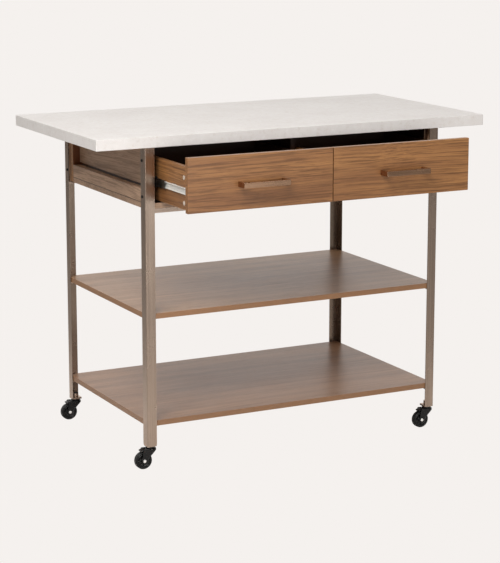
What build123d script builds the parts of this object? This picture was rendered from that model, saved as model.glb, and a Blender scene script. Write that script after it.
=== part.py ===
from build123d import *
import os

os.makedirs("parts", exist_ok=True)

# A kitchen island cart on four casters, with a stone-look worktop, a cabinet of two drawers that
# stand part-way open, and two open shelves between four angle-section steel legs.
# Millimetres. The origin is on the floor under the middle of the frame. +X runs along the
# worktop, the drawers open towards -Y, +Z is up. SIDES: -1 is left, +1 right. ENDS: -1 front, +1 back.

# ---- driving dimensions -----------------------------------------------------------------------
TOTAL_HEIGHT = 914
TOP_LENGTH = 1200
TOP_WIDTH = 600
TOP_THICKNESS = 30
TOP_CORNER_ROUND = 2.5
TOP_EDGE_ROUND = 1.5
TOP_UNDER_CHAMFER = 0.8
FRAME_LENGTH = 914
FRAME_WIDTH = 572
LEG_BOTTOM = 62
FLANGE = 28
STEEL = 2
LEG_OUTER_ROUND = 2.6
LEG_INNER_ROUND = 0.6
FOOT_ROUND = 7
BOARD = 15
BOARD_EDGE_ROUND = 0.8
FIT = 1

SHELF_TOPS = {"upper_shelf": 432, "lower_shelf": 134}
PLATE_THICKNESS = 3
PLATE_NOSE = 8
PLATE_SCREW_INSET = 11
SCREW_RADIUS = 2
SCREW_HOLE_RADIUS = 2.3
SCREW_HEAD_RADIUS = 4
SCREW_HEAD_HEIGHT = 2

CABINET_BOTTOM = 718
STRETCHER_DROP = 12
FRONT_STRETCHER_DEPTH = 30
BACK_STRETCHER_DEPTH = 60
BACK_SETBACK = 42
RAIL_DEPTH = 21
RAIL_HEIGHT = 36
RAIL_GAP = 1
SIDE_PANEL = 12
PANEL_GROOVE_DEPTH = 8
PANEL_GROOVE_HEIGHT = 7
PARTITION_SETBACK = 24
BLOCK_TONGUE = 8
BRACKET_PLACES = (-170, 150)
BRACKET_LEG = 20
BRACKET_WIDTH = 30

DRAWER_OPEN = 203
FRONT_THICKNESS = 15
FRONT_BOTTOM = 735
FRONT_HEIGHT = 145
FRONT_GAP = 3
DRAWER_LENGTH = 400
DRAWER_WALL = 12
DRAWER_BOTTOM = 737
DRAWER_SIDE_HEIGHT = 114
DRAWER_FLOOR = 4
FLOOR_GROOVE = 6
FLOOR_RAISE = 10

SLIDE_SPACE = 10
SLIDE_CENTRE = 787
SLIDE_STEEL = 1.2
CABINET_MEMBER_HEIGHT = 27
CABINET_MEMBER_REACH = 8.6
CAGE_HEIGHT = 22.4
CAGE_REACH = 6
CAGE_STANDOFF = 2.4
CAGE_LENGTH = 260
CAGE_SETBACK = 46
DRAWER_MEMBER_HEIGHT = 17.6
DRAWER_MEMBER_REACH = 5.6
BUMPER_LENGTH = 18
BUMPER_LIP = 1.6
CAP_RADIUS = 6.2
CAP_THICKNESS = 0.8
CAP_SETBACK = 42
CAP_RAISES = (17, 84)

HANDLE_LENGTH = 137
HANDLE_BAR = 9
HANDLE_HEIGHT = 14
HANDLE_REACH = 36
HANDLE_CENTRE = 803
HANDLE_CORNER_ROUND = 1.5
HANDLE_EDGE_ROUND = 0.8

BOLT_HEAD_RADIUS = 4.2
BOLT_HEAD_HEIGHT = 2.4
BOLT_RADIUS = 2.5
BOLT_HOLE_RADIUS = 2.7
BOLT_LENGTH = 18
BOLT_SETBACK = 19
BOLT_HEIGHTS = (750, 847)

SOCKET_PLATE = 26
SOCKET_PLATE_THICKNESS = 5
SOCKET_RADIUS = 9
SOCKET_DEPTH = 16
STEM_RADIUS = 5
STEM_TOP = 80
STEM_BUTTON_RADIUS = 8
STEM_BUTTON_HEIGHT = 2
STEM_COLLAR_RADIUS = 13
SWIVEL_GAP = 0.3
WHEEL_RADIUS = 24
WHEEL_WIDTH = 18
TREAD_ROUND = 3
WHEEL_DISH_OUTER = 17
WHEEL_DISH_INNER = 8
WHEEL_DISH_DEPTH = 3
CASTER_TRAIL = 22
AXLE_RADIUS = 3
AXLE_HEAD_RADIUS = 4.4
AXLE_HEAD_HEIGHT = 1.8
AXLE_EYE_RADIUS = 8.5
RUNNING_FIT = 0.06
FORK_PLATE = 2
FORK_GAP = 21
CROWN_RADIUS = 16
CROWN_BOTTOM = 50
CROWN_TOP = 57
CROWN_EDGE_ROUND = 2.5
# Reach from the swivel axis and height, round a fork plate and then round the brake lever.
FORK_OUTLINE = ((12, 55), (-22, 57), (-25, 51), (-30.2, 26), (-15.4, 19), (-2, 38), (12, 50))
BRAKE_OUTLINE = (
    (-17.1, 54.5),
    (-20, 55.8),
    (-24.6, 55),
    (-29.2, 52.9),
    (-31.2, 51),
    (-30.8, 49.1),
    (-28.4, 48.9),
    (-17.1, 51.3),
)
BRAKE_PIVOT = (-19.5, 53.5)
BRAKE_PIN_RADIUS = 1.5
BRAKE_SIDE_GAP = 0.8

# ---- worked-out places ------------------------------------------------------------------------
SIDES = {"left": -1, "right": 1}
ENDS = {"front": -1, "back": 1}
HALF_LENGTH = FRAME_LENGTH / 2
HALF_WIDTH = FRAME_WIDTH / 2
TOP_UNDERSIDE = TOTAL_HEIGHT - TOP_THICKNESS
INNER_X = HALF_LENGTH - STEEL
INNER_Y = HALF_WIDTH - STEEL
BOARD_X = INNER_X - FIT
BOARD_Y = INNER_Y - FIT
FLANGE_X = HALF_LENGTH - FLANGE
FLANGE_Y = HALF_WIDTH - FLANGE
DECK = CABINET_BOTTOM + BOARD
BACK_FACE = HALF_WIDTH - BACK_SETBACK
BACK_INSIDE = BACK_FACE - BOARD
PANEL_OUTSIDE = BOARD_X - RAIL_DEPTH
PANEL_INSIDE = PANEL_OUTSIDE - SIDE_PANEL
PANEL_FRONT = -HALF_WIDTH + FRONT_THICKNESS + 2
PARTITION_HALF = BOARD / 2
PARTITION_FRONT = -HALF_WIDTH + PARTITION_SETBACK
PLATE = FLANGE - STEEL
PLATE_SCREW_X = INNER_X - PLATE_SCREW_INSET
PLATE_SCREW_Y = INNER_Y - PLATE_SCREW_INSET
FRONT_FACE = -HALF_WIDTH - DRAWER_OPEN
BOX_FRONT = FRONT_FACE + FRONT_THICKNESS
BOX_BACK = BOX_FRONT + DRAWER_LENGTH
FLOOR_LOW = DRAWER_BOTTOM + FLOOR_RAISE
FRONT_OUTER_X = FLANGE_X - 2
FRONT_INNER_X = FRONT_GAP / 2
BOX_OUTER_X = PANEL_INSIDE - SLIDE_SPACE
BOX_INNER_X = PARTITION_HALF + SLIDE_SPACE
CASTER_X = HALF_LENGTH - FLANGE / 2
CASTER_Y = HALF_WIDTH - FLANGE / 2


def write(part, name):
    """Labels a finished piece and writes its file."""
    part.label = name
    export_step(part, f"parts/{name}.step")


def board(x_range, y_range, z_range):
    """A plain rectangular panel between pairs of limits, whichever way round they are given."""
    x_low, x_high = sorted(x_range)
    y_low, y_high = sorted(y_range)
    z_low, z_high = sorted(z_range)
    with BuildPart() as panel:
        with BuildSketch(Plane.XY.offset(z_low)):
            with Locations(((x_low + x_high) / 2, (y_low + y_high) / 2)):
                Rectangle(x_high - x_low, y_high - y_low)
        extrude(amount=z_high - z_low)
    return panel.part


def edged_board(x_range, y_range, z_range):
    """A laminated panel whose edges are all slightly eased."""
    with BuildPart() as panel:
        add(board(x_range, y_range, z_range))
        fillet(panel.edges(), BOARD_EDGE_ROUND)
    return panel.part


# ---- worktop ----------------------------------------------------------------------------------
with BuildPart() as worktop:
    with BuildSketch(Plane.XY.offset(TOP_UNDERSIDE)):
        Rectangle(TOP_LENGTH, TOP_WIDTH)
    extrude(amount=TOP_THICKNESS)
    fillet(worktop.edges().filter_by(Axis.Z), TOP_CORNER_ROUND)
    fillet(worktop.edges().group_by(Axis.Z)[-1], TOP_EDGE_ROUND)
    chamfer(worktop.edges().group_by(Axis.Z)[0], TOP_UNDER_CHAMFER)
write(worktop.part, "worktop")


# ---- legs -------------------------------------------------------------------------------------
def leg(side, end):
    """An angle-section leg with its corner outwards, rounded at the foot and drilled for bolts."""
    corner = (side * HALF_LENGTH, end * HALF_WIDTH)
    inner = (side * INNER_X, end * INNER_Y)
    with BuildPart() as angle:
        with BuildSketch(Plane.XY.offset(LEG_BOTTOM)) as profile:
            with BuildLine():
                Polyline(
                    corner,
                    (side * FLANGE_X, corner[1]),
                    (side * FLANGE_X, inner[1]),
                    inner,
                    (inner[0], end * FLANGE_Y),
                    (corner[0], end * FLANGE_Y),
                    close=True,
                )
            make_face()
            outer_corner = profile.vertices().sort_by_distance(Vertex(*corner, LEG_BOTTOM))[0]
            inner_corner = profile.vertices().sort_by_distance(Vertex(*inner, LEG_BOTTOM))[0]
            fillet(outer_corner, LEG_OUTER_ROUND)
            fillet(inner_corner, LEG_INNER_ROUND)
        extrude(amount=TOP_UNDERSIDE - LEG_BOTTOM)
        foot = angle.edges().group_by(Axis.Z)[0]
        tip_x = foot.filter_by(Axis.Y).sort_by(Axis.X)[0 if side > 0 else -1]
        tip_y = foot.filter_by(Axis.X).sort_by(Axis.Y)[0 if end > 0 else -1]
        fillet([tip_x, tip_y], FOOT_ROUND)
        with BuildSketch(Plane.YZ.offset(side * INNER_X)):
            with Locations(*[(end * (HALF_WIDTH - BOLT_SETBACK), z) for z in BOLT_HEIGHTS]):
                Circle(BOLT_HOLE_RADIUS)
        extrude(amount=2 * STEEL, both=True, mode=Mode.SUBTRACT)
    return angle.part


for side_name, side in SIDES.items():
    for end_name, end in ENDS.items():
        write(leg(side, end), f"leg_{end_name}_{side_name}")

corners = [(side, end) for side in SIDES.values() for end in ENDS.values()]


# ---- shelves and the plates that carry them ---------------------------------------------------
for shelf_name, shelf_top in SHELF_TOPS.items():
    shelf = edged_board((-BOARD_X, BOARD_X), (-BOARD_Y, BOARD_Y), (shelf_top - BOARD, shelf_top))
    write(shelf, shelf_name)

with BuildPart() as shelf_plates:
    for shelf_top in SHELF_TOPS.values():
        for side, end in corners:
            with BuildSketch(Plane.XY.offset(shelf_top - BOARD)):
                with BuildLine():
                    Polyline(
                        (side * INNER_X, end * INNER_Y),
                        (side * (INNER_X - PLATE), end * INNER_Y),
                        (side * (INNER_X - PLATE), end * (INNER_Y - PLATE_NOSE)),
                        (side * (INNER_X - PLATE_NOSE), end * (INNER_Y - PLATE)),
                        (side * INNER_X, end * (INNER_Y - PLATE)),
                        close=True,
                    )
                make_face()
                with Locations((side * PLATE_SCREW_X, end * PLATE_SCREW_Y)):
                    Circle(SCREW_HOLE_RADIUS, mode=Mode.SUBTRACT)
            extrude(amount=-PLATE_THICKNESS)
write(shelf_plates.part, "shelf_plates")


def screw(x, y, z, direction, radius, length, head_radius, head_height):
    """A plain screw whose head sits outside the point (x, y, z) and whose shank runs along direction."""
    seat = Plane(origin=(x, y, z), z_dir=direction)
    with BuildPart() as fastener:
        with BuildSketch(seat):
            Circle(radius)
        extrude(amount=length)
        with BuildSketch(seat):
            Circle(head_radius)
        extrude(amount=-head_height)
        rim = fastener.faces().sort_by(Axis((x, y, z), direction))[0].edges()
        fillet(rim, head_height * 0.6)
    return fastener.part


with BuildPart() as shelf_screws:
    for shelf_top in SHELF_TOPS.values():
        seat_height = shelf_top - BOARD - PLATE_THICKNESS
        for side, end in corners:
            place = (side * PLATE_SCREW_X, end * PLATE_SCREW_Y, seat_height)
            head = (SCREW_HEAD_RADIUS, SCREW_HEAD_HEIGHT)
            add(screw(*place, (0, 0, 1), SCREW_RADIUS, PLATE_THICKNESS, *head))
write(shelf_screws.part, "shelf_screws")

# ---- cabinet ----------------------------------------------------------------------------------
cabinet_span = (-BOARD_X, BOARD_X)
cabinet_bottom = edged_board(cabinet_span, (-BOARD_Y, BACK_INSIDE), (CABINET_BOTTOM, DECK))
write(cabinet_bottom, "cabinet_bottom")
cabinet_back = edged_board(cabinet_span, (BACK_INSIDE, BACK_FACE), (CABINET_BOTTOM, TOP_UNDERSIDE))
write(cabinet_back, "cabinet_back")
partition = board(
    (-PARTITION_HALF, PARTITION_HALF),
    (PARTITION_FRONT, BACK_INSIDE),
    (DECK, TOP_UNDERSIDE),
)
write(partition, "centre_partition")

groove_z = (DECK + RAIL_HEIGHT, DECK + RAIL_HEIGHT + PANEL_GROOVE_HEIGHT)
for side_name, side in SIDES.items():
    panel_x = (side * PANEL_INSIDE, side * PANEL_OUTSIDE)
    groove_x = (side * (PANEL_OUTSIDE - PANEL_GROOVE_DEPTH), side * PANEL_OUTSIDE)
    with BuildPart() as side_panel:
        add(board(panel_x, (PANEL_FRONT, BACK_INSIDE), (DECK, TOP_UNDERSIDE)))
        add(board(groove_x, (PANEL_FRONT, BACK_INSIDE), groove_z), mode=Mode.SUBTRACT)
    write(side_panel.part, f"side_panel_{side_name}")

with BuildPart() as side_rails:
    for side in SIDES.values():
        rail_x = (side * PANEL_OUTSIDE, side * BOARD_X)
        add(edged_board(rail_x, (-FLANGE_Y, BACK_INSIDE), (DECK + RAIL_GAP, DECK + RAIL_HEIGHT)))
write(side_rails.part, "side_rails")


def corner_block(side, end):
    """A wooden block inside a leg's angle that takes its bolts; the back ones reach to the back board."""
    wide = (side * PANEL_OUTSIDE, side * BOARD_X)
    bottom = DECK if end < 0 else CABINET_BOTTOM
    with BuildPart() as block:
        add(board(wide, (end * BOARD_Y, end * FLANGE_Y), (bottom, TOP_UNDERSIDE)))
        if end > 0:
            narrow = (side * PANEL_OUTSIDE, side * (PANEL_OUTSIDE + BLOCK_TONGUE))
            add(board(narrow, (FLANGE_Y, BACK_FACE), (bottom, TOP_UNDERSIDE)))
        with BuildSketch(Plane.YZ.offset(side * BOARD_X)):
            with Locations(*[(end * (HALF_WIDTH - BOLT_SETBACK), z) for z in BOLT_HEIGHTS]):
                Circle(BOLT_HOLE_RADIUS)
        extrude(amount=-side * BOLT_LENGTH, mode=Mode.SUBTRACT)
    return block.part


with BuildPart() as corner_blocks:
    for side, end in corners:
        add(corner_block(side, end))
write(corner_blocks.part, "corner_blocks")


def stretcher(end, depth):
    """A steel angle between two legs, standing just inside them, that the cabinet sits on."""
    with BuildPart() as angle:
        with BuildSketch(Plane.YZ.offset(-INNER_X)):
            with BuildLine():
                Polyline(
                    (end * INNER_Y, CABINET_BOTTOM),
                    (end * INNER_Y, CABINET_BOTTOM - STRETCHER_DROP),
                    (end * (INNER_Y - STEEL), CABINET_BOTTOM - STRETCHER_DROP),
                    (end * (INNER_Y - STEEL), CABINET_BOTTOM - STEEL),
                    (end * (INNER_Y - depth), CABINET_BOTTOM - STEEL),
                    (end * (INNER_Y - depth), CABINET_BOTTOM),
                    close=True,
                )
            make_face()
        extrude(amount=2 * INNER_X)
    return angle.part


write(stretcher(ENDS["front"], FRONT_STRETCHER_DEPTH), "stretcher_front")
write(stretcher(ENDS["back"], BACK_STRETCHER_DEPTH), "stretcher_back")

with BuildPart() as leg_bolts:
    for side, end in corners:
        for z in BOLT_HEIGHTS:
            place = (side * HALF_LENGTH, end * (HALF_WIDTH - BOLT_SETBACK), z)
            add(
                screw(
                    *place,
                    (-side, 0, 0),
                    BOLT_RADIUS,
                    BOLT_LENGTH,
                    BOLT_HEAD_RADIUS,
                    BOLT_HEAD_HEIGHT,
                )
            )
write(leg_bolts.part, "leg_bolts")

with BuildPart() as worktop_brackets:
    for side in SIDES.values():
        for y in BRACKET_PLACES:
            with BuildSketch(Plane.XZ.offset(-y - BRACKET_WIDTH / 2)):
                with BuildLine():
                    Polyline(
                        (side * PANEL_INSIDE, TOP_UNDERSIDE),
                        (side * (PANEL_INSIDE - BRACKET_LEG), TOP_UNDERSIDE),
                        (side * (PANEL_INSIDE - BRACKET_LEG), TOP_UNDERSIDE - STEEL),
                        (side * (PANEL_INSIDE - STEEL), TOP_UNDERSIDE - STEEL),
                        (side * (PANEL_INSIDE - STEEL), TOP_UNDERSIDE - BRACKET_LEG),
                        (side * PANEL_INSIDE, TOP_UNDERSIDE - BRACKET_LEG),
                        close=True,
                    )
                make_face()
            extrude(amount=BRACKET_WIDTH)
write(worktop_brackets.part, "worktop_brackets")


# ---- drawer slides ----------------------------------------------------------------------------
def channel(wall, inward, y_low, length, height, reach, lip):
    """A C-shaped slide member whose web stands at x = wall and whose lips point along inward."""
    half = height / 2
    web = wall + inward * SLIDE_STEEL
    tip = wall + inward * reach
    with BuildPart() as member:
        with BuildSketch(Plane.XZ.offset(-y_low)):
            with BuildLine():
                Polyline(
                    (wall, SLIDE_CENTRE - half),
                    (tip, SLIDE_CENTRE - half),
                    (tip, SLIDE_CENTRE - half + lip),
                    (web, SLIDE_CENTRE - half + lip),
                    (web, SLIDE_CENTRE + half - lip),
                    (tip, SLIDE_CENTRE + half - lip),
                    (tip, SLIDE_CENTRE + half),
                    (wall, SLIDE_CENTRE + half),
                    close=True,
                )
            make_face()
        extrude(amount=-length)
    return member.part


def slide_walls(side):
    """The two cabinet faces with a drawer's slides: each face's x, its way to the drawer, its front end."""
    return (
        (side * PANEL_INSIDE, -side, PANEL_FRONT),
        (side * PARTITION_HALF, side, PARTITION_FRONT),
    )


with BuildPart() as cabinet_slides:
    for side in SIDES.values():
        for wall, inward, wall_front in slide_walls(side):
            start = wall_front + BUMPER_LENGTH
            length = DRAWER_LENGTH - BUMPER_LENGTH
            section = (CABINET_MEMBER_HEIGHT, CABINET_MEMBER_REACH, SLIDE_STEEL)
            add(channel(wall, inward, start, length, *section))
write(cabinet_slides.part, "cabinet_slides")

with BuildPart() as slide_bumpers:
    for side in SIDES.values():
        for wall, inward, wall_front in slide_walls(side):
            section = (CABINET_MEMBER_HEIGHT, CABINET_MEMBER_REACH, BUMPER_LIP)
            add(channel(wall, inward, wall_front, BUMPER_LENGTH, *section))
write(slide_bumpers.part, "slide_bumpers")

for side_name, side in SIDES.items():
    with BuildPart() as cages:
        for wall, inward, wall_front in slide_walls(side):
            near = wall + inward * CAGE_STANDOFF
            start = PANEL_FRONT + CAGE_SETBACK - DRAWER_OPEN / 2
            add(channel(near, inward, start, CAGE_LENGTH, CAGE_HEIGHT, CAGE_REACH, SLIDE_STEEL))
    write(cages.part, f"ball_cages_{side_name}")


# ---- drawers ----------------------------------------------------------------------------------
def drawer_side(side, outer, inner):
    """A drawer wall from x = outer to x = inner, with a groove for the drawer floor on its inside."""
    way = 1 if inner > outer else -1
    y_range = (BOX_FRONT, BOX_BACK)
    groove = (inner - way * FLOOR_GROOVE, inner)
    with BuildPart() as wall:
        add(board((outer, inner), y_range, (DRAWER_BOTTOM, DRAWER_BOTTOM + DRAWER_SIDE_HEIGHT)))
        add(board(groove, y_range, (FLOOR_LOW, FLOOR_LOW + DRAWER_FLOOR)), mode=Mode.SUBTRACT)
    return wall.part


def handle(side):
    """A flat-bar pull with square corners, bent back to the drawer front at both ends."""
    centre = side * (FRONT_OUTER_X + FRONT_INNER_X) / 2
    half = HANDLE_LENGTH / 2
    reach = FRONT_FACE - HANDLE_REACH
    with BuildPart() as pull:
        with BuildSketch(Plane.XY.offset(HANDLE_CENTRE - HANDLE_HEIGHT / 2)):
            with BuildLine():
                Polyline(
                    (centre - half, FRONT_FACE),
                    (centre - half, reach),
                    (centre + half, reach),
                    (centre + half, FRONT_FACE),
                    (centre + half - HANDLE_BAR, FRONT_FACE),
                    (centre + half - HANDLE_BAR, reach + HANDLE_BAR),
                    (centre - half + HANDLE_BAR, reach + HANDLE_BAR),
                    (centre - half + HANDLE_BAR, FRONT_FACE),
                    close=True,
                )
            make_face()
        extrude(amount=HANDLE_HEIGHT)
        uprights = pull.edges().filter_by(Axis.Z)
        fillet(uprights.group_by(Axis.Y)[0], HANDLE_CORNER_ROUND)
        fillet(pull.faces().sort_by(Axis.Y)[0].edges().filter_by(Axis.X), HANDLE_EDGE_ROUND)
    return pull.part


for side_name, side in SIDES.items():
    outer_wall = side * BOX_OUTER_X
    inner_wall = side * BOX_INNER_X
    outer_inside = outer_wall - side * DRAWER_WALL
    inner_inside = inner_wall + side * DRAWER_WALL
    screw_x = [
        side * (FRONT_OUTER_X + FRONT_INNER_X) / 2 + way * (HANDLE_LENGTH - HANDLE_BAR) / 2
        for way in (-1, 1)
    ]
    with BuildPart() as drawer_front:
        add(
            edged_board(
                (side * FRONT_OUTER_X, side * FRONT_INNER_X),
                (FRONT_FACE, BOX_FRONT),
                (FRONT_BOTTOM, FRONT_BOTTOM + FRONT_HEIGHT),
            )
        )
        with BuildSketch(Plane.XZ.offset(-BOX_FRONT)):
            with Locations(*[(x, HANDLE_CENTRE) for x in screw_x]):
                Circle(BOLT_HOLE_RADIUS)
        extrude(amount=FRONT_THICKNESS, mode=Mode.SUBTRACT)
    write(drawer_front.part, f"drawer_front_{side_name}")

    write(drawer_side(side, outer_wall, outer_inside), f"drawer_outer_side_{side_name}")
    write(drawer_side(side, inner_wall, inner_inside), f"drawer_inner_side_{side_name}")
    drawer_back = board(
        (outer_inside, inner_inside),
        (BOX_BACK - DRAWER_WALL, BOX_BACK),
        (FLOOR_LOW + DRAWER_FLOOR, DRAWER_BOTTOM + DRAWER_SIDE_HEIGHT),
    )
    write(drawer_back, f"drawer_back_{side_name}")
    drawer_floor = board(
        (outer_inside + side * FLOOR_GROOVE, inner_inside - side * FLOOR_GROOVE),
        (BOX_FRONT, BOX_BACK),
        (FLOOR_LOW, FLOOR_LOW + DRAWER_FLOOR),
    )
    write(drawer_floor, f"drawer_floor_{side_name}")

    with BuildPart() as drawer_slides:
        for wall, inward in ((outer_wall, side), (inner_wall, -side)):
            section = (DRAWER_MEMBER_HEIGHT, DRAWER_MEMBER_REACH, SLIDE_STEEL)
            add(channel(wall, inward, BOX_FRONT + FIT, DRAWER_LENGTH - FIT, *section))
    write(drawer_slides.part, f"drawer_slides_{side_name}")

    with BuildPart() as cam_caps:
        for wall, inward in ((outer_wall, side), (inner_wall, -side)):
            for raised in CAP_RAISES:
                place = (wall, BOX_FRONT + CAP_SETBACK, DRAWER_BOTTOM + raised)
                with BuildSketch(Plane(origin=place, z_dir=(inward, 0, 0))):
                    Circle(CAP_RADIUS)
                extrude(amount=CAP_THICKNESS)
    write(cam_caps.part, f"cam_caps_{side_name}")

    write(handle(side), f"handle_{side_name}")
    with BuildPart() as handle_screws:
        for x in screw_x:
            place = (x, BOX_FRONT, HANDLE_CENTRE)
            head = (SCREW_HEAD_RADIUS, SCREW_HEAD_HEIGHT)
            add(screw(*place, (0, -1, 0), SCREW_RADIUS, FRONT_THICKNESS, *head))
    write(handle_screws.part, f"handle_screws_{side_name}")


# ---- casters ----------------------------------------------------------------------------------
with BuildPart() as caster_sockets:
    for side, end in corners:
        with BuildSketch(Plane.XY.offset(LEG_BOTTOM)):
            with Locations((side * (INNER_X - SOCKET_PLATE / 2), end * (INNER_Y - SOCKET_PLATE / 2))):
                Rectangle(SOCKET_PLATE, SOCKET_PLATE)
        extrude(amount=SOCKET_PLATE_THICKNESS)
        with BuildSketch(Plane.XY.offset(LEG_BOTTOM)):
            with Locations((side * CASTER_X, end * CASTER_Y)):
                Circle(SOCKET_RADIUS)
        extrude(amount=SOCKET_DEPTH)
        with BuildSketch(Plane.XY.offset(LEG_BOTTOM)):
            with Locations((side * CASTER_X, end * CASTER_Y)):
                Circle(STEM_RADIUS + RUNNING_FIT)
        extrude(amount=SOCKET_DEPTH, mode=Mode.SUBTRACT)
write(caster_sockets.part, "caster_sockets")

with BuildPart() as caster_stems:
    button_bottom = CROWN_BOTTOM - SWIVEL_GAP - STEM_BUTTON_HEIGHT
    rings = (
        (button_bottom, CROWN_BOTTOM - SWIVEL_GAP, STEM_BUTTON_RADIUS),
        (button_bottom, STEM_TOP, STEM_RADIUS),
        (CROWN_TOP + SWIVEL_GAP, LEG_BOTTOM, STEM_COLLAR_RADIUS),
    )
    for side, end in corners:
        for low, high, radius in rings:
            with BuildSketch(Plane.XY.offset(low)):
                with Locations((side * CASTER_X, end * CASTER_Y)):
                    Circle(radius)
            extrude(amount=high - low)
write(caster_stems.part, "caster_stems")


def caster_fork(x, y):
    """A swivelling fork: a round crown on the stem and two plates that reach back to the axle."""
    crown_half = FORK_GAP / 2 + FORK_PLATE
    with BuildPart() as fork:
        with BuildSketch(Plane.XY.offset(CROWN_BOTTOM)):
            with Locations((x, y)):
                Circle(CROWN_RADIUS)
        extrude(amount=CROWN_TOP - CROWN_BOTTOM)
        fillet(fork.edges().group_by(Axis.Z)[-1], CROWN_EDGE_ROUND)
        for way in (-1, 1):
            with BuildSketch(Plane.XZ.offset(-y - way * crown_half)):
                with Locations((x - CASTER_TRAIL, WHEEL_RADIUS)):
                    Circle(AXLE_EYE_RADIUS)
                with BuildLine():
                    Polyline([(x + reach, z) for reach, z in FORK_OUTLINE], close=True)
                make_face()
            extrude(amount=way * FORK_PLATE)
            with BuildSketch(Plane.XZ.offset(-y - way * crown_half)):
                with Locations((x - CASTER_TRAIL, WHEEL_RADIUS)):
                    Circle(AXLE_RADIUS + RUNNING_FIT)
                with Locations((x + BRAKE_PIVOT[0], BRAKE_PIVOT[1])):
                    Circle(BRAKE_PIN_RADIUS + RUNNING_FIT)
            extrude(amount=way * FORK_PLATE, mode=Mode.SUBTRACT)
        with BuildSketch(Plane.XY.offset(CROWN_BOTTOM)):
            with Locations((x, y)):
                Circle(STEM_RADIUS + RUNNING_FIT)
        extrude(amount=CROWN_TOP - CROWN_BOTTOM, mode=Mode.SUBTRACT)
    return fork.part


def caster_wheel(x, y):
    """A moulded wheel with a rounded tread, a dished face on each side and a plain bore."""
    half = WHEEL_WIDTH / 2
    with BuildPart() as wheel:
        with BuildSketch(Plane.XZ.offset(-y - half)):
            with Locations((x, WHEEL_RADIUS)):
                Circle(WHEEL_RADIUS)
        extrude(amount=WHEEL_WIDTH)
        rims = wheel.edges().filter_by(GeomType.CIRCLE)
        fillet(rims, TREAD_ROUND)
        for way in (-1, 1):
            with BuildSketch(Plane.XZ.offset(-y - way * half)):
                with Locations((x, WHEEL_RADIUS)):
                    Circle(WHEEL_DISH_OUTER)
                    Circle(WHEEL_DISH_INNER, mode=Mode.SUBTRACT)
            extrude(amount=way * WHEEL_DISH_DEPTH, mode=Mode.SUBTRACT)
        with BuildSketch(Plane.XZ.offset(-y - half)):
            with Locations((x, WHEEL_RADIUS)):
                Circle(AXLE_RADIUS + RUNNING_FIT)
        extrude(amount=WHEEL_WIDTH, mode=Mode.SUBTRACT)
    return wheel.part


def caster_axle(x, y):
    """A plain axle pin with a domed head against each fork plate."""
    outside = FORK_GAP / 2 + FORK_PLATE
    with BuildPart() as axle:
        with BuildSketch(Plane.XZ.offset(-y - outside)):
            with Locations((x, WHEEL_RADIUS)):
                Circle(AXLE_RADIUS)
        extrude(amount=2 * outside)
        for way in (-1, 1):
            with BuildSketch(Plane.XZ.offset(-y + way * outside)):
                with Locations((x, WHEEL_RADIUS)):
                    Circle(AXLE_HEAD_RADIUS)
            extrude(amount=way * AXLE_HEAD_HEIGHT)
            fillet(axle.faces().sort_by(Axis.Y)[0 if way > 0 else -1].edges(), AXLE_HEAD_HEIGHT * 0.55)
    return axle.part


def brake_lever(x, y):
    """A foot tab over the wheel, with stub pins that turn in the two fork plates."""
    half = FORK_GAP / 2 - BRAKE_SIDE_GAP
    pin_half = FORK_GAP / 2 + FORK_PLATE
    with BuildPart() as lever:
        with BuildSketch(Plane.XZ.offset(-y - half)):
            with BuildLine():
                Polyline([(x + reach, z) for reach, z in BRAKE_OUTLINE], close=True)
            make_face()
        extrude(amount=2 * half)
        with BuildSketch(Plane.XZ.offset(-y - pin_half)):
            with Locations((x + BRAKE_PIVOT[0], BRAKE_PIVOT[1])):
                Circle(BRAKE_PIN_RADIUS)
        extrude(amount=2 * pin_half)
    return lever.part


for side_name, side in SIDES.items():
    for end_name, end in ENDS.items():
        place = (side * CASTER_X, end * CASTER_Y)
        hub = (place[0] - CASTER_TRAIL, place[1])
        corner_name = f"{end_name}_{side_name}"
        write(caster_fork(*place), f"caster_fork_{corner_name}")
        write(caster_wheel(*hub), f"caster_wheel_{corner_name}")
        write(caster_axle(*hub), f"caster_axle_{corner_name}")
        write(brake_lever(*place), f"brake_lever_{corner_name}")
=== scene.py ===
"""The looks of a kitchen island cart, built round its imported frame.

Every board, leg, slide, drawer and caster keeps the place that the frame gives it. This file adds
the detailed pieces that ride on those bodies, the procedural finishes, and a plain studio.
Lengths are metres, +Z is up, the drawers open towards -Y.
"""

import logging
import math
from collections.abc import Callable, Iterable, Mapping, Sequence
from dataclasses import dataclass, field
from enum import Enum
from functools import cache
from typing import Any

import bmesh
import bpy
from mathutils import Matrix, Vector


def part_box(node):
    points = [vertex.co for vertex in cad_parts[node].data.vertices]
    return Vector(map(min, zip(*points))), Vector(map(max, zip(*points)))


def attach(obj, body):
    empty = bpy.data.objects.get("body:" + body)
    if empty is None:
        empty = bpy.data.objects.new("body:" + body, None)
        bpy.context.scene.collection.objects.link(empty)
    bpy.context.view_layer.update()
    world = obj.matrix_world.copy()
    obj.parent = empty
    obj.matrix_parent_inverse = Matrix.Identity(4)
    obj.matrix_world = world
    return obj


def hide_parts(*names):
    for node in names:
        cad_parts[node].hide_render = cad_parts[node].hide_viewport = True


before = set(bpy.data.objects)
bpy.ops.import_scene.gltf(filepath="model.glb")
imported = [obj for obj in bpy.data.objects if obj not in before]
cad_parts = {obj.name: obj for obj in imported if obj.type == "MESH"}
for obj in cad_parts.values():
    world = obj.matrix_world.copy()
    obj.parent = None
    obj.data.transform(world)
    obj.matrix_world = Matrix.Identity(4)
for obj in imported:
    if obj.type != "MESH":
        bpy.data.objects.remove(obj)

log = logging.getLogger("cart")

SIDES = {"left": -1, "right": 1}
ENDS = {"front": -1, "back": 1}
CORNERS = [f"{end}_{side}" for side in SIDES for end in ENDS]

Colour = tuple[int, int, int]
Place = tuple[float, float, float]
Span = tuple[float, float]

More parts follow.
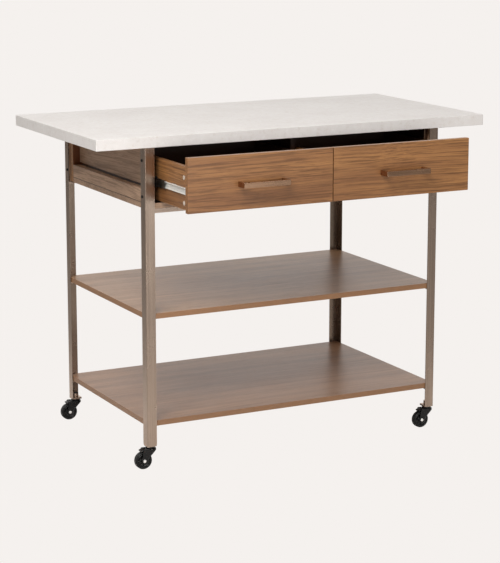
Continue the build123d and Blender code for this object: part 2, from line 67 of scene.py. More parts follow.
CLOUD_SPAN: Span = (0.3, 0.7)
FACING_SPAN: Span = (0.4, 0.6)
SHARP_ANGLE = math.radians(34)


# ---- colours and shader graphs ----------------------------------------------------------------
def tint(red: int, green: int, blue: int) -> tuple[float, float, float, float]:
    """A linear colour from its everyday 0-255 display values.

    Args:
        red: Display red.
        green: Display green.
        blue: Display blue.

    Returns:
        The linear colour, with full opacity.
    """
    def channel(level: int) -> float:
        """One display level as a linear one."""
        share = level / 255
        return share / 12.92 if share <= 0.04045 else ((share + 0.055) / 1.055) ** 2.4

    return channel(red), channel(green), channel(blue), 1.0


class Graph:
    """A short way to write nodes and links in one node tree."""

    def __init__(self, tree: bpy.types.NodeTree) -> None:
        """Takes the tree that the nodes are added to."""
        self.tree = tree

    def node(
        self, kind: str, inputs: Mapping[str | int, Any] | None = None, **settings: Any
    ) -> bpy.types.Node:
        """Adds a node, then sets or links its inputs.

        Args:
            kind: The node's type without its ShaderNode prefix.
            inputs: Input name or number to a value, or to a socket that is linked in.
            settings: The node's own properties.

        Returns:
            The new node.
        """
        made = self.tree.nodes.new("ShaderNode" + kind)
        for name, value in settings.items():
            setattr(made, name, value)
        return self.fill(made, inputs or {})

    def fill(self, node: bpy.types.Node, inputs: Mapping[str | int, Any]) -> bpy.types.Node:
        """Sets or links a node's inputs.

        Args:
            node: The node.
            inputs: Input name or number to a value, or to a socket that is linked in.

        Returns:
            The same node.
        """
        for key, value in inputs.items():
            if isinstance(value, bpy.types.NodeSocket):
                self.tree.links.new(value, node.inputs[key])
            else:
                node.inputs[key].default_value = value
        return node

    def maths(self, operation: str, *values: Any) -> bpy.types.NodeSocket:
        """A Math node's result, its inputs given in order."""
        return self.node("Math", dict(enumerate(values)), operation=operation).outputs[0]

    def mix(self, share: Any, first: Any, second: Any, blend: str = "MIX") -> bpy.types.NodeSocket:
        """Two colours mixed by a share from 0 to 1."""
        inputs = {0: share, 6: first, 7: second}
        return self.node("Mix", inputs, data_type="RGBA", blend_type=blend).outputs[2]

    def noise(
        self, at: Any, scale: float, detail: float = 2.0, rough: float = 0.5
    ) -> bpy.types.NodeSocket:
        """A noise value over the surface."""
        inputs = {"Vector": at, "Scale": scale, "Detail": detail, "Roughness": rough}
        return self.node("TexNoise", inputs).outputs[0]

    def remap(self, value: Any, source: Span, target: Span = (0.0, 1.0)) -> bpy.types.NodeSocket:
        """A value moved from one range to another and held inside it."""
        inputs = {0: value, 1: source[0], 2: source[1], 3: target[0], 4: target[1]}
        return self.node("MapRange", inputs).outputs[0]

    def stretch(self, at: Any, factors: Place) -> bpy.types.NodeSocket:
        """Coordinates scaled along each axis."""
        return self.node("Mapping", {"Vector": at, "Scale": factors}).outputs[0]

    def bump(self, height: Any, depth: float, strength: float) -> bpy.types.NodeSocket:
        """A normal bent by a height, with depth in metres."""
        inputs = {"Height": height, "Distance": depth, "Strength": strength}
        return self.node("Bump", inputs).outputs[0]

    def facing(self, way: Place) -> bpy.types.NodeSocket:
        """How squarely the piece's own surface faces a way, from -1 to 1."""
        own = self.node("TexCoord").outputs["Normal"]
        return self.node("VectorMath", {0: own, 1: way}, operation="DOT_PRODUCT").outputs["Value"]


class Effect:
    """A shader node group that several finishes share, built once."""

    built: dict[str, bpy.types.NodeTree] = {}

    @classmethod
    def get(
        cls,
        name: str,
        inputs: Mapping[str, str],
        outputs: Mapping[str, str],
        draw: Callable[[Graph, bpy.types.Node, bpy.types.Node], None],
    ) -> bpy.types.NodeTree:
        """Returns the group, which is drawn the first time that it is asked for.

        Args:
            name: The group's name.
            inputs: Input name to kind, one of Float, Color and Vector.
            outputs: Output name to kind.
            draw: Fills the group between its input and output nodes.

        Returns:
            The group's node tree.
        """
        if name not in cls.built:
            tree = bpy.data.node_groups.new(name, "ShaderNodeTree")
            for direction, sockets in (("INPUT", inputs), ("OUTPUT", outputs)):
                for label, kind in sockets.items():
                    tree.interface.new_socket(label, in_out=direction, socket_type="NodeSocket" + kind)
            draw(Graph(tree), tree.nodes.new("NodeGroupInput"), tree.nodes.new("NodeGroupOutput"))
            cls.built[name] = tree
        return cls.built[name]


def place(graph: Graph, effect: bpy.types.NodeTree, inputs: Mapping[str, Any]) -> bpy.types.Node:
    """Puts an effect in a material with its own values.

    Args:
        graph: The material's graph.
        effect: The group.
        inputs: Input name to value or socket.

    Returns:
        The group node.
    """
    return graph.node("Group", inputs, node_tree=effect)


def send(graph: Graph, target: bpy.types.Node, **values: bpy.types.NodeSocket) -> None:
    """Links results to a group's outputs, whose names are given with capitals."""
    graph.fill(target, values)


# ---- shared effects ---------------------------------------------------------------------------
def wood_grain() -> bpy.types.NodeTree:
    """Straight-grown walnut with its fibres along X and the tree's heart on the X axis.

    Returns:
        The effect, which gives Color, Height and Pores.
    """
    def draw(g: Graph, source: bpy.types.Node, target: bpy.types.Node) -> None:
        """Draws soft bands, rings that wander along the trunk, fine dark lines and pores.

        Args:
            g: The group's graph.
            source: The group's input node.
            target: The group's output node.
        """
        at = source.outputs["Vector"]
        drift = g.node("TexNoise", {"Vector": g.stretch(at, (1.6, 3.0, 3.0)), "Scale": 1.0, "Detail": 2.0})
        wander = g.node("VectorMath", {0: drift.outputs[1], 1: (0.5, 0.5, 0.5)}, operation="SUBTRACT")
        bend = g.node("VectorMath", {0: wander.outputs[0], 1: (0.0, 0.045, 0.045)}, operation="MULTIPLY")
        trunk = g.node("VectorMath", {0: at, 1: bend.outputs[0]}, operation="ADD").outputs[0]
        rings = g.node(
            "TexWave",
            {
                "Vector": g.stretch(trunk, (0.06, 1.0, 1.0)),
                "Scale": 34.0,
                "Distortion": 2.2,
                "Detail": 2.0,
                "Detail Scale": 1.2,
                "Detail Roughness": 0.5,
            },
            wave_type="RINGS",
            rings_direction="X",
        ).outputs[1]
        late = g.remap(rings, (0.0, 0.4), (1.0, 0.0))
        band = g.noise(g.stretch(trunk, (0.9, 17.0, 17.0)), 1.0, 5.0, 0.66)
        line = g.noise(g.stretch(trunk, (5.0, 250.0, 250.0)), 1.0, 3.0, 0.7)
        fibre = g.noise(g.stretch(trunk, (14.0, 620.0, 620.0)), 1.0, 2.0, 0.6)
        streak = g.noise(g.stretch(trunk, (2.4, 190.0, 190.0)), 1.0, 3.0, 0.6)
        vessel = g.noise(g.stretch(at, (48.0, 1150.0, 1150.0)), 1.0, 1.0)
        pores = g.remap(vessel, (0.62, 0.72))
        dark = source.outputs["Dark"]
        base = g.mix(g.remap(band, (0.36, 0.62)), source.outputs["Brown"], source.outputs["Pale"])
        ringed = g.mix(g.maths("MULTIPLY", late, source.outputs["Figure"]), base, dark)
        thin = g.maths("MULTIPLY", g.remap(line, (0.49, 0.42)), source.outputs["Lines"])
        shade_tint = g.mix(thin, ringed, dark)
        long = g.maths("MULTIPLY", g.remap(streak, (0.6, 0.66)), source.outputs["Lines"])
        streaked = g.mix(long, shade_tint, dark)
        combed = g.mix(g.remap(fibre, (0.35, 0.6), (0.16, 0.0)), streaked, dark)
        pitted = g.mix(g.maths("MULTIPLY", pores, 0.3), combed, dark)
        height = g.maths("SUBTRACT", g.maths("MULTIPLY", fibre, 0.55), g.maths("MULTIPLY", pores, 0.6))
        send(g, target, Color=pitted, Height=height, Pores=pores)

    colours = {"Pale": "Color", "Brown": "Color", "Dark": "Color"}
    inputs = {"Vector": "Vector", **colours, "Figure": "Float", "Lines": "Float"}
    outputs = {"Color": "Color", "Height": "Float", "Pores": "Float"}
    return Effect.get("Wood grain", inputs, outputs, draw)


def edge_highlight() -> bpy.types.NodeTree:
    """A mask of the sharp edges for a painted highlight, broken up in patches.

    Returns:
        The effect, which gives Mask.
    """
    def draw(g: Graph, source: bpy.types.Node, target: bpy.types.Node) -> None:
        """Compares the rounded normal with the true one.

        Args:
            g: The group's graph.
            source: The group's input node.
            target: The group's output node.
        """
        rounded = g.node("Bevel", {"Radius": source.outputs["Width"]}, samples=6).outputs[0]
        true = g.node("NewGeometry").outputs["Normal"]
        facing = g.node("VectorMath", {0: rounded, 1: true}, operation="DOT_PRODUCT").outputs["Value"]
        sharp = g.remap(facing, (0.995, 0.86))
        patchy = g.remap(g.noise(source.outputs["Vector"], 90.0, 4.0, 0.65), (0.35, 0.7))
        send(g, target, Mask=g.maths("MULTIPLY", sharp, g.maths("ADD", patchy, source.outputs["Evenness"])))

    inputs = {"Vector": "Vector", "Width": "Float", "Evenness": "Float"}
    return Effect.get("Edge wear", inputs, {"Mask": "Float"}, draw)


def handling() -> bpy.types.NodeTree:
    """Soft cloudy changes of gloss and faint dust, as on any surface that is touched and wiped.

    Returns:
        The effect, which gives Cloud and Dust.
    """
    def draw(g: Graph, source: bpy.types.Node, target: bpy.types.Node) -> None:
        """Draws broad clouds, and fine specks that gather where the surface faces up.

        Args:
            g: The group's graph.
            source: The group's input node.
            target: The group's output node.
        """
        at = source.outputs["Vector"]
        cloud = g.noise(at, 7.0, 4.0, 0.6)
        specks = g.remap(g.noise(at, 620.0, 2.0, 0.6), (0.66, 0.74))
        up = g.node("SeparateXYZ", {0: g.node("NewGeometry").outputs["Normal"]}).outputs[2]
        send(g, target, Cloud=cloud, Dust=g.maths("MULTIPLY", specks, g.remap(up, (0.2, 0.9))))

    return Effect.get("Handling", {"Vector": "Vector"}, {"Cloud": "Float", "Dust": "Float"}, draw)


def brushing() -> bpy.types.NodeTree:
    """Fine parallel lines left by rolling or brushing along one axis.

    Returns:
        The effect, which gives Lines and Height.
    """
    def draw(g: Graph, source: bpy.types.Node, target: bpy.types.Node) -> None:
        """Stretches two noises along X.

        Args:
            g: The group's graph.
            source: The group's input node.
            target: The group's output node.
        """
        at = source.outputs["Vector"]
        fine = g.noise(g.stretch(at, (9.0, 2600.0, 2600.0)), 1.0, 3.0, 0.7)
        broad = g.noise(g.stretch(at, (3.0, 240.0, 240.0)), 1.0, 2.0)
        send(g, target, Lines=g.mix(0.5, fine, broad), Height=fine)

    return Effect.get("Brushing", {"Vector": "Vector"}, {"Lines": "Float", "Height": "Float"}, draw)


class Along(Enum):
    """The axis that a pattern runs along, as the turn that brings it to X."""

    X = (0.0, 0.0, 0.0)
    Y = (0.0, 0.0, -math.pi / 2)
    Z = (0.0, math.pi / 2, 0.0)


def surface(
    graph: Graph, along: Along = Along.X, centre: Place = (0.0, 0.0, 0.0)
) -> bpy.types.NodeSocket:
    """The piece's own coordinates, centred on a point and then turned to run along an axis.

    Args:
        graph: The material's graph.
        along: The axis that becomes X.
        centre: The point that becomes the middle.

    Returns:
        The coordinates.
    """
    own = graph.node("TexCoord").outputs["Object"]
    shifted = graph.node("VectorMath", {0: own, 1: centre}, operation="SUBTRACT").outputs[0]
    return graph.node("Mapping", {"Vector": shifted, "Rotation": along.value}).outputs[0]


def finish_material(name: str) -> tuple[bpy.types.Material, Graph, bpy.types.Node]:
    """An empty material with its shader.

    Args:
        name: The material's name.

    Returns:
        The material, its graph and its Principled BSDF.
    """
    made = bpy.data.materials.new(name)
    made.use_nodes = True
    made.node_tree.nodes.clear()
    graph = Graph(made.node_tree)
    shader = graph.node("BsdfPrincipled")
    graph.node("OutputMaterial", {"Surface": shader.outputs[0]})
    return made, graph, shader


# ---- finishes ---------------------------------------------------------------------------------
@dataclass(frozen=True)
class WalnutLaminate:
    """Satin walnut-grain laminate on one board, with its own piece of the tree."""

    name: str
    along: Along = Along.X
    centre: Place = (0.0, 0.0, 0.0)
    heart: Place = (0.0, 0.05, 0.1)
    figure: float = 0.22
    lines: float = 0.48
    pale: Colour = (178, 126, 76)
    brown: Colour = (144, 98, 60)
    dark: Colour = (78, 46, 26)
    roughness: float = 0.34
    # Painted shade: faces that look the set way, and also the other way when the next flag is on, take a
    # dark colour for the shade inside the drawers and the cabinet; on the shelves these faces are their
    # edges, which take a duller, darker tone.
    shade_facing: Place | None = None
    shaded_both_ways: bool = False
    shade_colour: Colour = (44, 26, 16)
    # Painted shade for the groove: every face inside this half-thickness of the board, the groove's cut
    # faces among them, takes a dark colour.
    groove_shade: float | None = None
    groove_shade_colour: Colour = (66, 38, 18)

    def material(self) -> bpy.types.Material:
        """Builds the finish: grain, a paler banded edge, light wear and a fine embossed texture.

        Returns:
            Builds the finish: grain, a pale painted highlight along the sharp edges, painted shade on
                chosen faces and in the groove, and a fine embossed texture.
        """
        made, g, shader = finish_material(self.name)
        at = surface(g, self.along, self.centre)
        trunk = g.node("VectorMath", {0: at, 1: self.heart}, operation="ADD").outputs[0]
        colours = {"Pale": tint(*self.pale), "Brown": tint(*self.brown), "Dark": tint(*self.dark)}
        amounts = {"Figure": self.figure, "Lines": self.lines}
        grain = place(g, wood_grain(), {"Vector": trunk, **amounts, **colours})
        wear = place(g, edge_highlight(), {"Vector": at, "Width": 0.0011, "Evenness": 0.35})
        touched = place(g, handling(), {"Vector": at})
        # Painted highlight: a pale tint along the sharp edges.
        edge = g.maths("MULTIPLY", wear.outputs["Mask"], 0.7)
        highlighted = g.mix(edge, grain.outputs["Color"], tint(208, 170, 134))
        # Painted shade on the faces that look the set way, mixed mostly over the grain.
        if self.shade_facing:
            shade_side = g.facing(self.shade_facing)
            shade_side = g.maths("ABSOLUTE", shade_side) if self.shaded_both_ways else shade_side
            shade_tint = g.mix(0.35, tint(*self.shade_colour), grain.outputs["Color"], "MULTIPLY")
            highlighted = g.mix(g.remap(shade_side, FACING_SPAN), highlighted, shade_tint)
        # Painted shade: faces in the middle of the board's thickness, such as the groove's, are darkened.
        if self.groove_shade:
            across = g.node("SeparateXYZ", {0: at}).outputs[1]
            cut = g.remap(g.maths("ABSOLUTE", across), (self.groove_shade, self.groove_shade - 0.0004))
            highlighted = g.mix(cut, highlighted, tint(*self.groove_shade_colour))
        shine = (self.roughness - 0.012, self.roughness + 0.02)
        gloss = g.remap(touched.outputs["Cloud"], CLOUD_SPAN, shine)
        pitted = g.maths("ADD", gloss, g.maths("MULTIPLY", grain.outputs["Pores"], 0.12))
        normal = g.bump(grain.outputs["Height"], 0.00012, 0.6)
        g.fill(shader, {"Base Color": highlighted, "Roughness": pitted, "Normal": normal})
        return made


@dataclass(frozen=True)
class StoneLaminate:
    """Off-white stone look with faint clouds, tan flecks and grey specks."""

    name: str = "Pale stone worktop"

    def material(self) -> bpy.types.Material:
        """Builds the finish from three scales of mottling.

        Returns:
            The material.
        """
        made, g, shader = finish_material(self.name)
        at = surface(g)
        wear = place(g, edge_highlight(), {"Vector": at, "Width": 0.0016, "Evenness": 0.2})
        touched = place(g, handling(), {"Vector": at})
        cloud = g.noise(at, 9.0, 6.0, 0.62)
        fleck = g.noise(at, 85.0, 4.0, 0.62)
        grit = g.noise(at, 520.0, 3.0, 0.7)
        base = g.mix(g.remap(cloud, (0.38, 0.64)), tint(233, 228, 224), tint(238, 234, 230))
        flecked = g.mix(g.remap(fleck, (0.54, 0.72), (0.0, 0.4)), base, tint(212, 201, 190))
        pale = g.mix(g.remap(fleck, (0.44, 0.3), (0.0, 0.5)), flecked, tint(246, 243, 240))
        specked = g.mix(g.remap(grit, (0.6, 0.76), (0.0, 0.5)), pale, tint(176, 168, 162))
        sparkle = g.mix(g.remap(grit, (0.36, 0.26), (0.0, 0.4)), specked, tint(250, 248, 246))
        # Painted highlight: a paler tint along the sharp edges.
        edged = g.mix(g.maths("MULTIPLY", wear.outputs["Mask"], 0.25), sparkle, tint(250, 247, 244))
        gloss = g.remap(touched.outputs["Cloud"], CLOUD_SPAN, (0.42, 0.52))
        height = g.maths("ADD", g.maths("MULTIPLY", fleck, 0.6), g.maths("MULTIPLY", grit, 0.4))
        g.fill(shader, {"Base Color": edged, "Roughness": gloss, "Normal": g.bump(height, 0.0002, 0.5)})
        return made


@dataclass(frozen=True)
class SatinSteel:
    """Taupe bronze satin coat on steel, with fine lines along the section, a painted highlight on its
    edges, and, when set, painted shade on the faces inside its angle.
    """

    name: str
    along: Along = Along.Z
    colour: Colour = (192, 172, 156)
    shade: Colour = (168, 149, 134)
    roughness: float = 0.25
    # Painted shade: the faces that look this way, inside a leg's angle, and their darker colour.
    shade_side: Place | None = None
    shade_side_colour: Colour = (122, 107, 94)

    def material(self) -> bpy.types.Material:
        """Builds the finish.

        Returns:
            The material.
        """
        made, g, shader = finish_material(self.name)
        at = surface(g, self.along)
        lines = place(g, brushing(), {"Vector": at})
        wear = place(g, edge_highlight(), {"Vector": at, "Width": 0.0009, "Evenness": 0.3})
        touched = place(g, handling(), {"Vector": at})
        base = g.mix(g.remap(lines.outputs["Lines"], (0.38, 0.62)), tint(*self.shade), tint(*self.colour))
        cloudy = g.mix(g.remap(touched.outputs["Cloud"], (0.4, 0.75), (0.0, 0.35)), base, tint(*self.shade))
        # Painted highlight along the sharp edges.
        highlighted = g.mix(g.maths("MULTIPLY", wear.outputs["Mask"], 0.6), cloudy, tint(214, 202, 192))
        # Painted shade: the faces inside the angle get a darker copy of the coat.
        if self.shade_side:
            shade_side_mask = g.facing(self.shade_side)
            dull = g.mix(0.7, highlighted, tint(*self.shade_side_colour))
            highlighted = g.mix(g.remap(shade_side_mask, FACING_SPAN), highlighted, dull)
        shine = (self.roughness - 0.05, self.roughness + 0.06)
        gloss = g.remap(touched.outputs["Cloud"], CLOUD_SPAN, shine)
        normal = g.bump(lines.outputs["Height"], 0.00004, 0.25)
        g.fill(shader, {"Base Color": highlighted, "Roughness": gloss, "Metallic": 1.0, "Normal": normal})
        return made


@dataclass(frozen=True)
class PlatedSteel:
    """Bare or zinc-plated steel with rolled lines and cloudy passivation."""

    name: str
    along: Along = Along.Y
    colour: Colour = (205, 204, 200)
    shade: Colour = (160, 158, 152)
    roughness: float = 0.3
    metallic: float = 1.0

    def material(self) -> bpy.types.Material:
        """Builds the finish.

        Returns:
            The material.
        """
        made, g, shader = finish_material(self.name)
        at = surface(g, self.along)
        lines = place(g, brushing(), {"Vector": at})
        touched = place(g, handling(), {"Vector": at})
        spangle = g.node("TexVoronoi", {"Vector": at, "Scale": 260.0}).outputs["Color"]
        grey = g.mix(g.remap(lines.outputs["Lines"], (0.36, 0.64)), tint(*self.shade), tint(*self.colour))
        patched = g.mix(0.08, grey, spangle, "OVERLAY")
        stain = g.remap(touched.outputs["Cloud"], (0.5, 0.8), (0.0, 0.3))
        stained = g.mix(stain, patched, tint(150, 138, 112))
        shine = (self.roughness - 0.06, self.roughness + 0.1)
        gloss = g.remap(touched.outputs["Cloud"], CLOUD_SPAN, shine)
        normal = g.bump(lines.outputs["Height"], 0.00003, 0.6)
        coat = {"Base Color": stained, "Roughness": gloss, "Metallic": self.metallic, "Normal": normal}
        g.fill(shader, coat)
        return made


@dataclass(frozen=True)
class DarkCoat:
    """A dark moulded, oxided or coated surface with fine texture and a painted highlight on its edges."""

    name: str
    colour: Colour = (30, 30, 30)
    highlight_colour: Colour = (86, 84, 82)
    roughness: float = 0.4
    grain: float = 900.0
    depth: float = 0.00003
    metallic: float = 0.0
    specular: float = 0.5

    def material(self) -> bpy.types.Material:
        """Builds the finish.

        Returns:
            The material.
        """
        made, g, shader = finish_material(self.name)
        at = surface(g)
        touched = place(g, handling(), {"Vector": at})
        wear = place(g, edge_highlight(), {"Vector": at, "Width": 0.0006, "Evenness": 0.15})
        texture = g.noise(at, self.grain, 3.0, 0.6)
        deep = tint(*(round(level * 0.72) for level in self.colour))
        base = g.mix(g.remap(texture, (0.35, 0.65)), deep, tint(*self.colour))
        # Painted highlight: a lighter colour along the sharp edges.
        highlighted = g.mix(g.maths("MULTIPLY", wear.outputs["Mask"], 0.45), base, tint(*self.highlight_colour))
        dusty = g.mix(g.maths("MULTIPLY", touched.outputs["Dust"], 0.3), highlighted, tint(150, 146, 140))
        shine = (self.roughness - 0.07, self.roughness + 0.09)
        gloss = g.remap(touched.outputs["Cloud"], CLOUD_SPAN, shine)
        g.fill(
            shader,
            {
                "Base Color": dusty,
                "Roughness": gloss,
                "Metallic": self.metallic,
                "Specular IOR Level": self.specular,
                "Normal": g.bump(texture, self.depth, 0.6),
            },
        )
        return made


def dress(nodes: Iterable[str], material: bpy.types.Material) -> None:
    """Gives frame nodes a finish through their objects' own material slots.

    Args:
        nodes: The nodes' names.
        material: The finish.
    """
    for name in nodes:
        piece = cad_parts[name]
        if not piece.material_slots:
            piece.data.materials.append(material)
        for material_slot in piece.material_slots:
            material_slot.link = "OBJECT"
            material_slot.material = material
    log.info("%s on %s", material.name, ", ".join(nodes))


def middle(node: str) -> Vector:
    """The middle of a frame node at rest."""
    low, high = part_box(node)
    return (low + high) / 2


# ---- studio -----------------------------------------------------------------------------------
@dataclass(frozen=True)
class Softbox:
    """One rectangular soft light: where it hangs, what it faces, its size and its watts."""

    name: str
    at: Place
    towards: Place
    size: Span
    power: float

    def hang(self) -> None:
        """Adds the light, which the camera itself doesn't see."""
        light = bpy.data.lights.new(self.name, "AREA")
        light.shape = "RECTANGLE"
        light.size, light.size_y = self.size
        light.energy = self.power
        lamp = bpy.data.objects.new(self.name, light)
        facing = Vector(self.towards) - Vector(self.at)
        lamp.location = self.at
        lamp.rotation_euler = facing.to_track_quat("-Z", "Y").to_euler()
        lamp.visible_camera = False
        bpy.context.scene.collection.objects.link(lamp)


@dataclass
class Studio:
    """A plain pale floor that runs out to the backdrop, soft lights and the camera."""

    pale: Colour = (245, 241, 238)
    floor_reach: float = 150.0
    floor_colour: Colour = (202, 199, 196)
    # Painted pool of light: the floor's paler colour round the cart, seen only by the light.
    painted_pool_colour: Colour = (250, 246, 242)
    near_reach: Span = (0.75, 1.5)
    front_to_back: Span = (-0.9, 0.7)
    soft_light: Span = (0.22, 0.4)
    gloss_light: Span = (0.3, 1.1)
    softboxes: tuple[Softbox, ...] = (
        Softbox("key", (-2.1, -2.2, 3.15), (0.0, 0.0, 0.5), (2.2, 1.8), 108.0),
        Softbox("front", (0.2, -4.9, 0.9), (0.0, 0.0, 0.5), (2.6, 1.2), 52.0),
        Softbox("overhead", (0.4, 0.9, 3.6), (0.0, 0.0, 0.6), (3.2, 2.4), 15.0),
    )
    sensor: float = 36.0
    sight: float = 500.0
    lens: float = 122.12
    upward_shift: float = 0.0506
    yaw: float = -27.047
    pitch: float = 11.197
    eye: Place = (-2.4767, -4.8530, 1.5880)

    def build(self) -> None:
        """Builds the whole studio."""
        self._world()
        self._floor()
        for softbox in self.softboxes:
            softbox.hang()
        self._camera()
        settings = bpy.context.scene.view_settings
        settings.view_transform = "Standard"
        settings.look = "None"

    def _world(self) -> None:
        """An even surround to the eye, and a room that is bright behind the cart and dim in front."""
        world = bpy.data.worlds.new("Surround")
        world.use_nodes = True
        world.node_tree.nodes.clear()
        g = Graph(world.node_tree)
        backwards = g.node("SeparateXYZ", {0: g.node("TexCoord").outputs["Generated"]}).outputs[1]
        path = g.node("LightPath").outputs
        soft = g.remap(backwards, self.front_to_back, self.soft_light)
        gloss = g.remap(backwards, self.front_to_back, self.gloss_light)
        bounced = g.node("Mix", {0: path["Is Glossy Ray"], 2: soft, 3: gloss}).outputs[0]
        strength = g.node("Mix", {0: path["Is Camera Ray"], 2: bounced, 3: 1.0}).outputs[0]
        surround = g.node("Background", {"Color": tint(*self.pale), "Strength": strength})
        g.node("OutputWorld", {"Surface": surround.outputs[0]})
        bpy.context.scene.world = world

    def _floor(self) -> None:
        """A very wide sheet: even to the eye, and to the light a matt floor with a painted pale pool round
        the cart.
        """
        mesh = bmesh.new()
        bmesh.ops.create_grid(mesh, x_segments=1, y_segments=1, size=self.floor_reach)
        data = bpy.data.meshes.new("studio_floor")
        mesh.to_mesh(data)
        mesh.free()
        floor = bpy.data.objects.new("studio_floor", data)
        bpy.context.scene.collection.objects.link(floor)
        made = bpy.data.materials.new("Studio floor")
        made.use_nodes = True
        made.node_tree.nodes.clear()
        g = Graph(made.node_tree)
        even = g.node("Emission", {"Color": tint(*self.pale), "Strength": 1.0})
        own = g.node("TexCoord").outputs["Object"]
        away = g.node("VectorMath", {0: own}, operation="LENGTH").outputs["Value"]
        # Painted pool of light: the floor is paler near the cart, for the light that it throws back.
        grey = g.mix(g.remap(away, self.near_reach), tint(*self.painted_pool_colour), tint(*self.floor_colour))
        matt = g.node("BsdfDiffuse", {"Color": grey})
        by_eye = g.node("LightPath").outputs["Is Camera Ray"]
        both = g.node("MixShader", {0: by_eye, 1: matt.outputs[0], 2: even.outputs[0]})
        g.node("OutputMaterial", {"Surface": both.outputs[0]})
        data.materials.append(made)

    def _camera(self) -> None:
        """A long lens a little above the worktop, in front and to the left."""
        data = bpy.data.cameras.new("camera")
        data.sensor_width = self.sensor
        data.lens = self.lens
        data.shift_y = -self.upward_shift
        data.clip_end = self.sight
        camera = bpy.data.objects.new("camera", data)
        camera.location = self.eye
        camera.rotation_euler = (math.radians(90 - self.pitch), 0.0, math.radians(self.yaw))
        bpy.context.scene.collection.objects.link(camera)
        bpy.context.scene.camera = camera


# ---- shapes -----------------------------------------------------------------------------------
MM = 0.001


class Outline(Enum):
    """The outline of one loop of a turned piece."""

    ROUND = "round"
    HEX = "hex"
    CROSS = "cross"

    def reach(self, angle: float) -> float:
        """How far the outline stands from its centre at an angle.

        Args:
            angle: The angle in radians.

        Returns:
            The distance, as a share of the outline's radius.
        """
        if self is Outline.HEX:
            return math.cos(math.pi / 6) / math.cos(angle % (math.pi / 3) - math.pi / 6)
        if self is Outline.CROSS:
            from_arm = abs((angle + math.pi / 4) % (math.pi / 2) - math.pi / 4)
            return min(1.0, 0.3 / max(math.sin(from_arm), 0.3))
        return 1.0


@dataclass(frozen=True)
class Ring:
    """One loop of a turned piece, in millimetres from its seat."""

    radius: float
    height: float
    outline: Outline = Outline.ROUND

    def shape(self, corners: Iterable[bmesh.types.BMVert]) -> None:
        """Moves a loop's corners onto this ring, each at the angle that it has.

        Args:
            corners: The loop's corners.
        """
        for corner in corners:
            angle = math.atan2(corner.co.y, corner.co.x)
            out = self.radius * MM * self.outline.reach(angle)
            corner.co = (out * math.cos(angle), out * math.sin(angle), self.height * MM)


def both_ends(half: Sequence[Ring]) -> list[Ring]:
    """The loops of a piece that is alike at both ends.

    Args:
        half: The loops of its upper half, from the end to the middle.

    Returns:
        The loops of the whole, from the lower end to the upper.
    """
    lower = [Ring(ring.radius, -ring.height, ring.outline) for ring in half]
    return lower + list(reversed(half))


def grow(mesh: bmesh.types.BMesh, loop: list[bmesh.types.BMEdge]) -> tuple[list, list]:
    """Extrudes a loop of edges in place.

    Args:
        mesh: The mesh under construction.
        loop: The loop's edges.

    Returns:
        The new loop's corners and its edges.
    """
    made = bmesh.ops.extrude_edge_only(mesh, edges=loop)["geom"]
    corners = [item for item in made if isinstance(item, bmesh.types.BMVert)]
    fresh = set(corners)
    edges = [e for e in made if isinstance(e, bmesh.types.BMEdge) and fresh.issuperset(e.verts)]
    return corners, edges


def turned(rings: Sequence[Ring], segments: int = 36, hollow: bool = False) -> bmesh.types.BMesh:
    """A closed piece turned about Z, from its first ring to its last.

    Args:
        rings: The loops in order.
        segments: How many corners each loop has.
        hollow: Joins the last ring to the first, round a bore, in place of two end caps.

    Returns:
        The mesh.
    """
    mesh = bmesh.new()
    corners = bmesh.ops.create_circle(mesh, segments=segments, radius=1.0)["verts"]
    rings[0].shape(corners)
    first = loop = mesh.edges[:]
    for ring in rings[1:]:
        corners, loop = grow(mesh, loop)
        ring.shape(corners)
    if hollow:
        bmesh.ops.bridge_loops(mesh, edges=first + loop)
    else:
        bmesh.ops.edgeloop_fill(mesh, edges=first)
        bmesh.ops.edgeloop_fill(mesh, edges=loop)
    bmesh.ops.recalc_face_normals(mesh, faces=mesh.faces)
    return mesh


def drawn(outline: Sequence[tuple[float, float]], stations: Sequence[float]) -> bmesh.types.BMesh:
    """A closed bar along Y with one section, cut across at each station.

    Args:
        outline: The section's corners as x and z.
        stations: The y of each cut, from one end to the other.

    Returns:
        The mesh.
    """
    mesh = bmesh.new()
    corners = [mesh.verts.new((x, stations[0], z)) for x, z in outline]
    loop = [mesh.edges.new((corner, corners[i - 1])) for i, corner in enumerate(corners)]
    first = loop
    for before, after in zip(stations, stations[1:]):
        corners, loop = grow(mesh, loop)
        bmesh.ops.translate(mesh, verts=corners, vec=(0.0, after - before, 0.0))
    bmesh.ops.edgeloop_fill(mesh, edges=first)
    bmesh.ops.edgeloop_fill(mesh, edges=loop)
    bmesh.ops.recalc_face_normals(mesh, faces=mesh.faces)
    return mesh


def block(low: Iterable[float], high: Iterable[float]) -> bmesh.types.BMesh:
    """A box between two corners.

    Args:
        low: Its corner of least x, y and z.
        high: Its opposite corner.

    Returns:
        The mesh.
    """
    start, end = Vector(low), Vector(high)
    mesh = bmesh.new()
    bmesh.ops.create_cube(mesh, size=1.0)
    bmesh.ops.scale(mesh, verts=mesh.verts, vec=end - start)
    bmesh.ops.translate(mesh, verts=mesh.verts, vec=(start + end) / 2)
    return mesh


def ease(mesh: bmesh.types.BMesh, width: float, sharper_than: float = 30.0) -> bmesh.types.BMesh:
    """Rounds a mesh's sharp edges with two faces each.

    Args:
        mesh: The mesh.
        width: The round's width in metres.
        sharper_than: The least angle in degrees between two faces that are eased.

    Returns:
        The same mesh.
    """
    sharp = [e for e in mesh.edges if e.calc_face_angle(0.0) > math.radians(sharper_than)]
    bmesh.ops.bevel(
        mesh,
        geom=sharp,
        offset=width,
        offset_type="OFFSET",
        affect="EDGES",
        segments=2,
        profile=0.5,
        material=-1,
        clamp_overlap=True,
    )
    return mesh


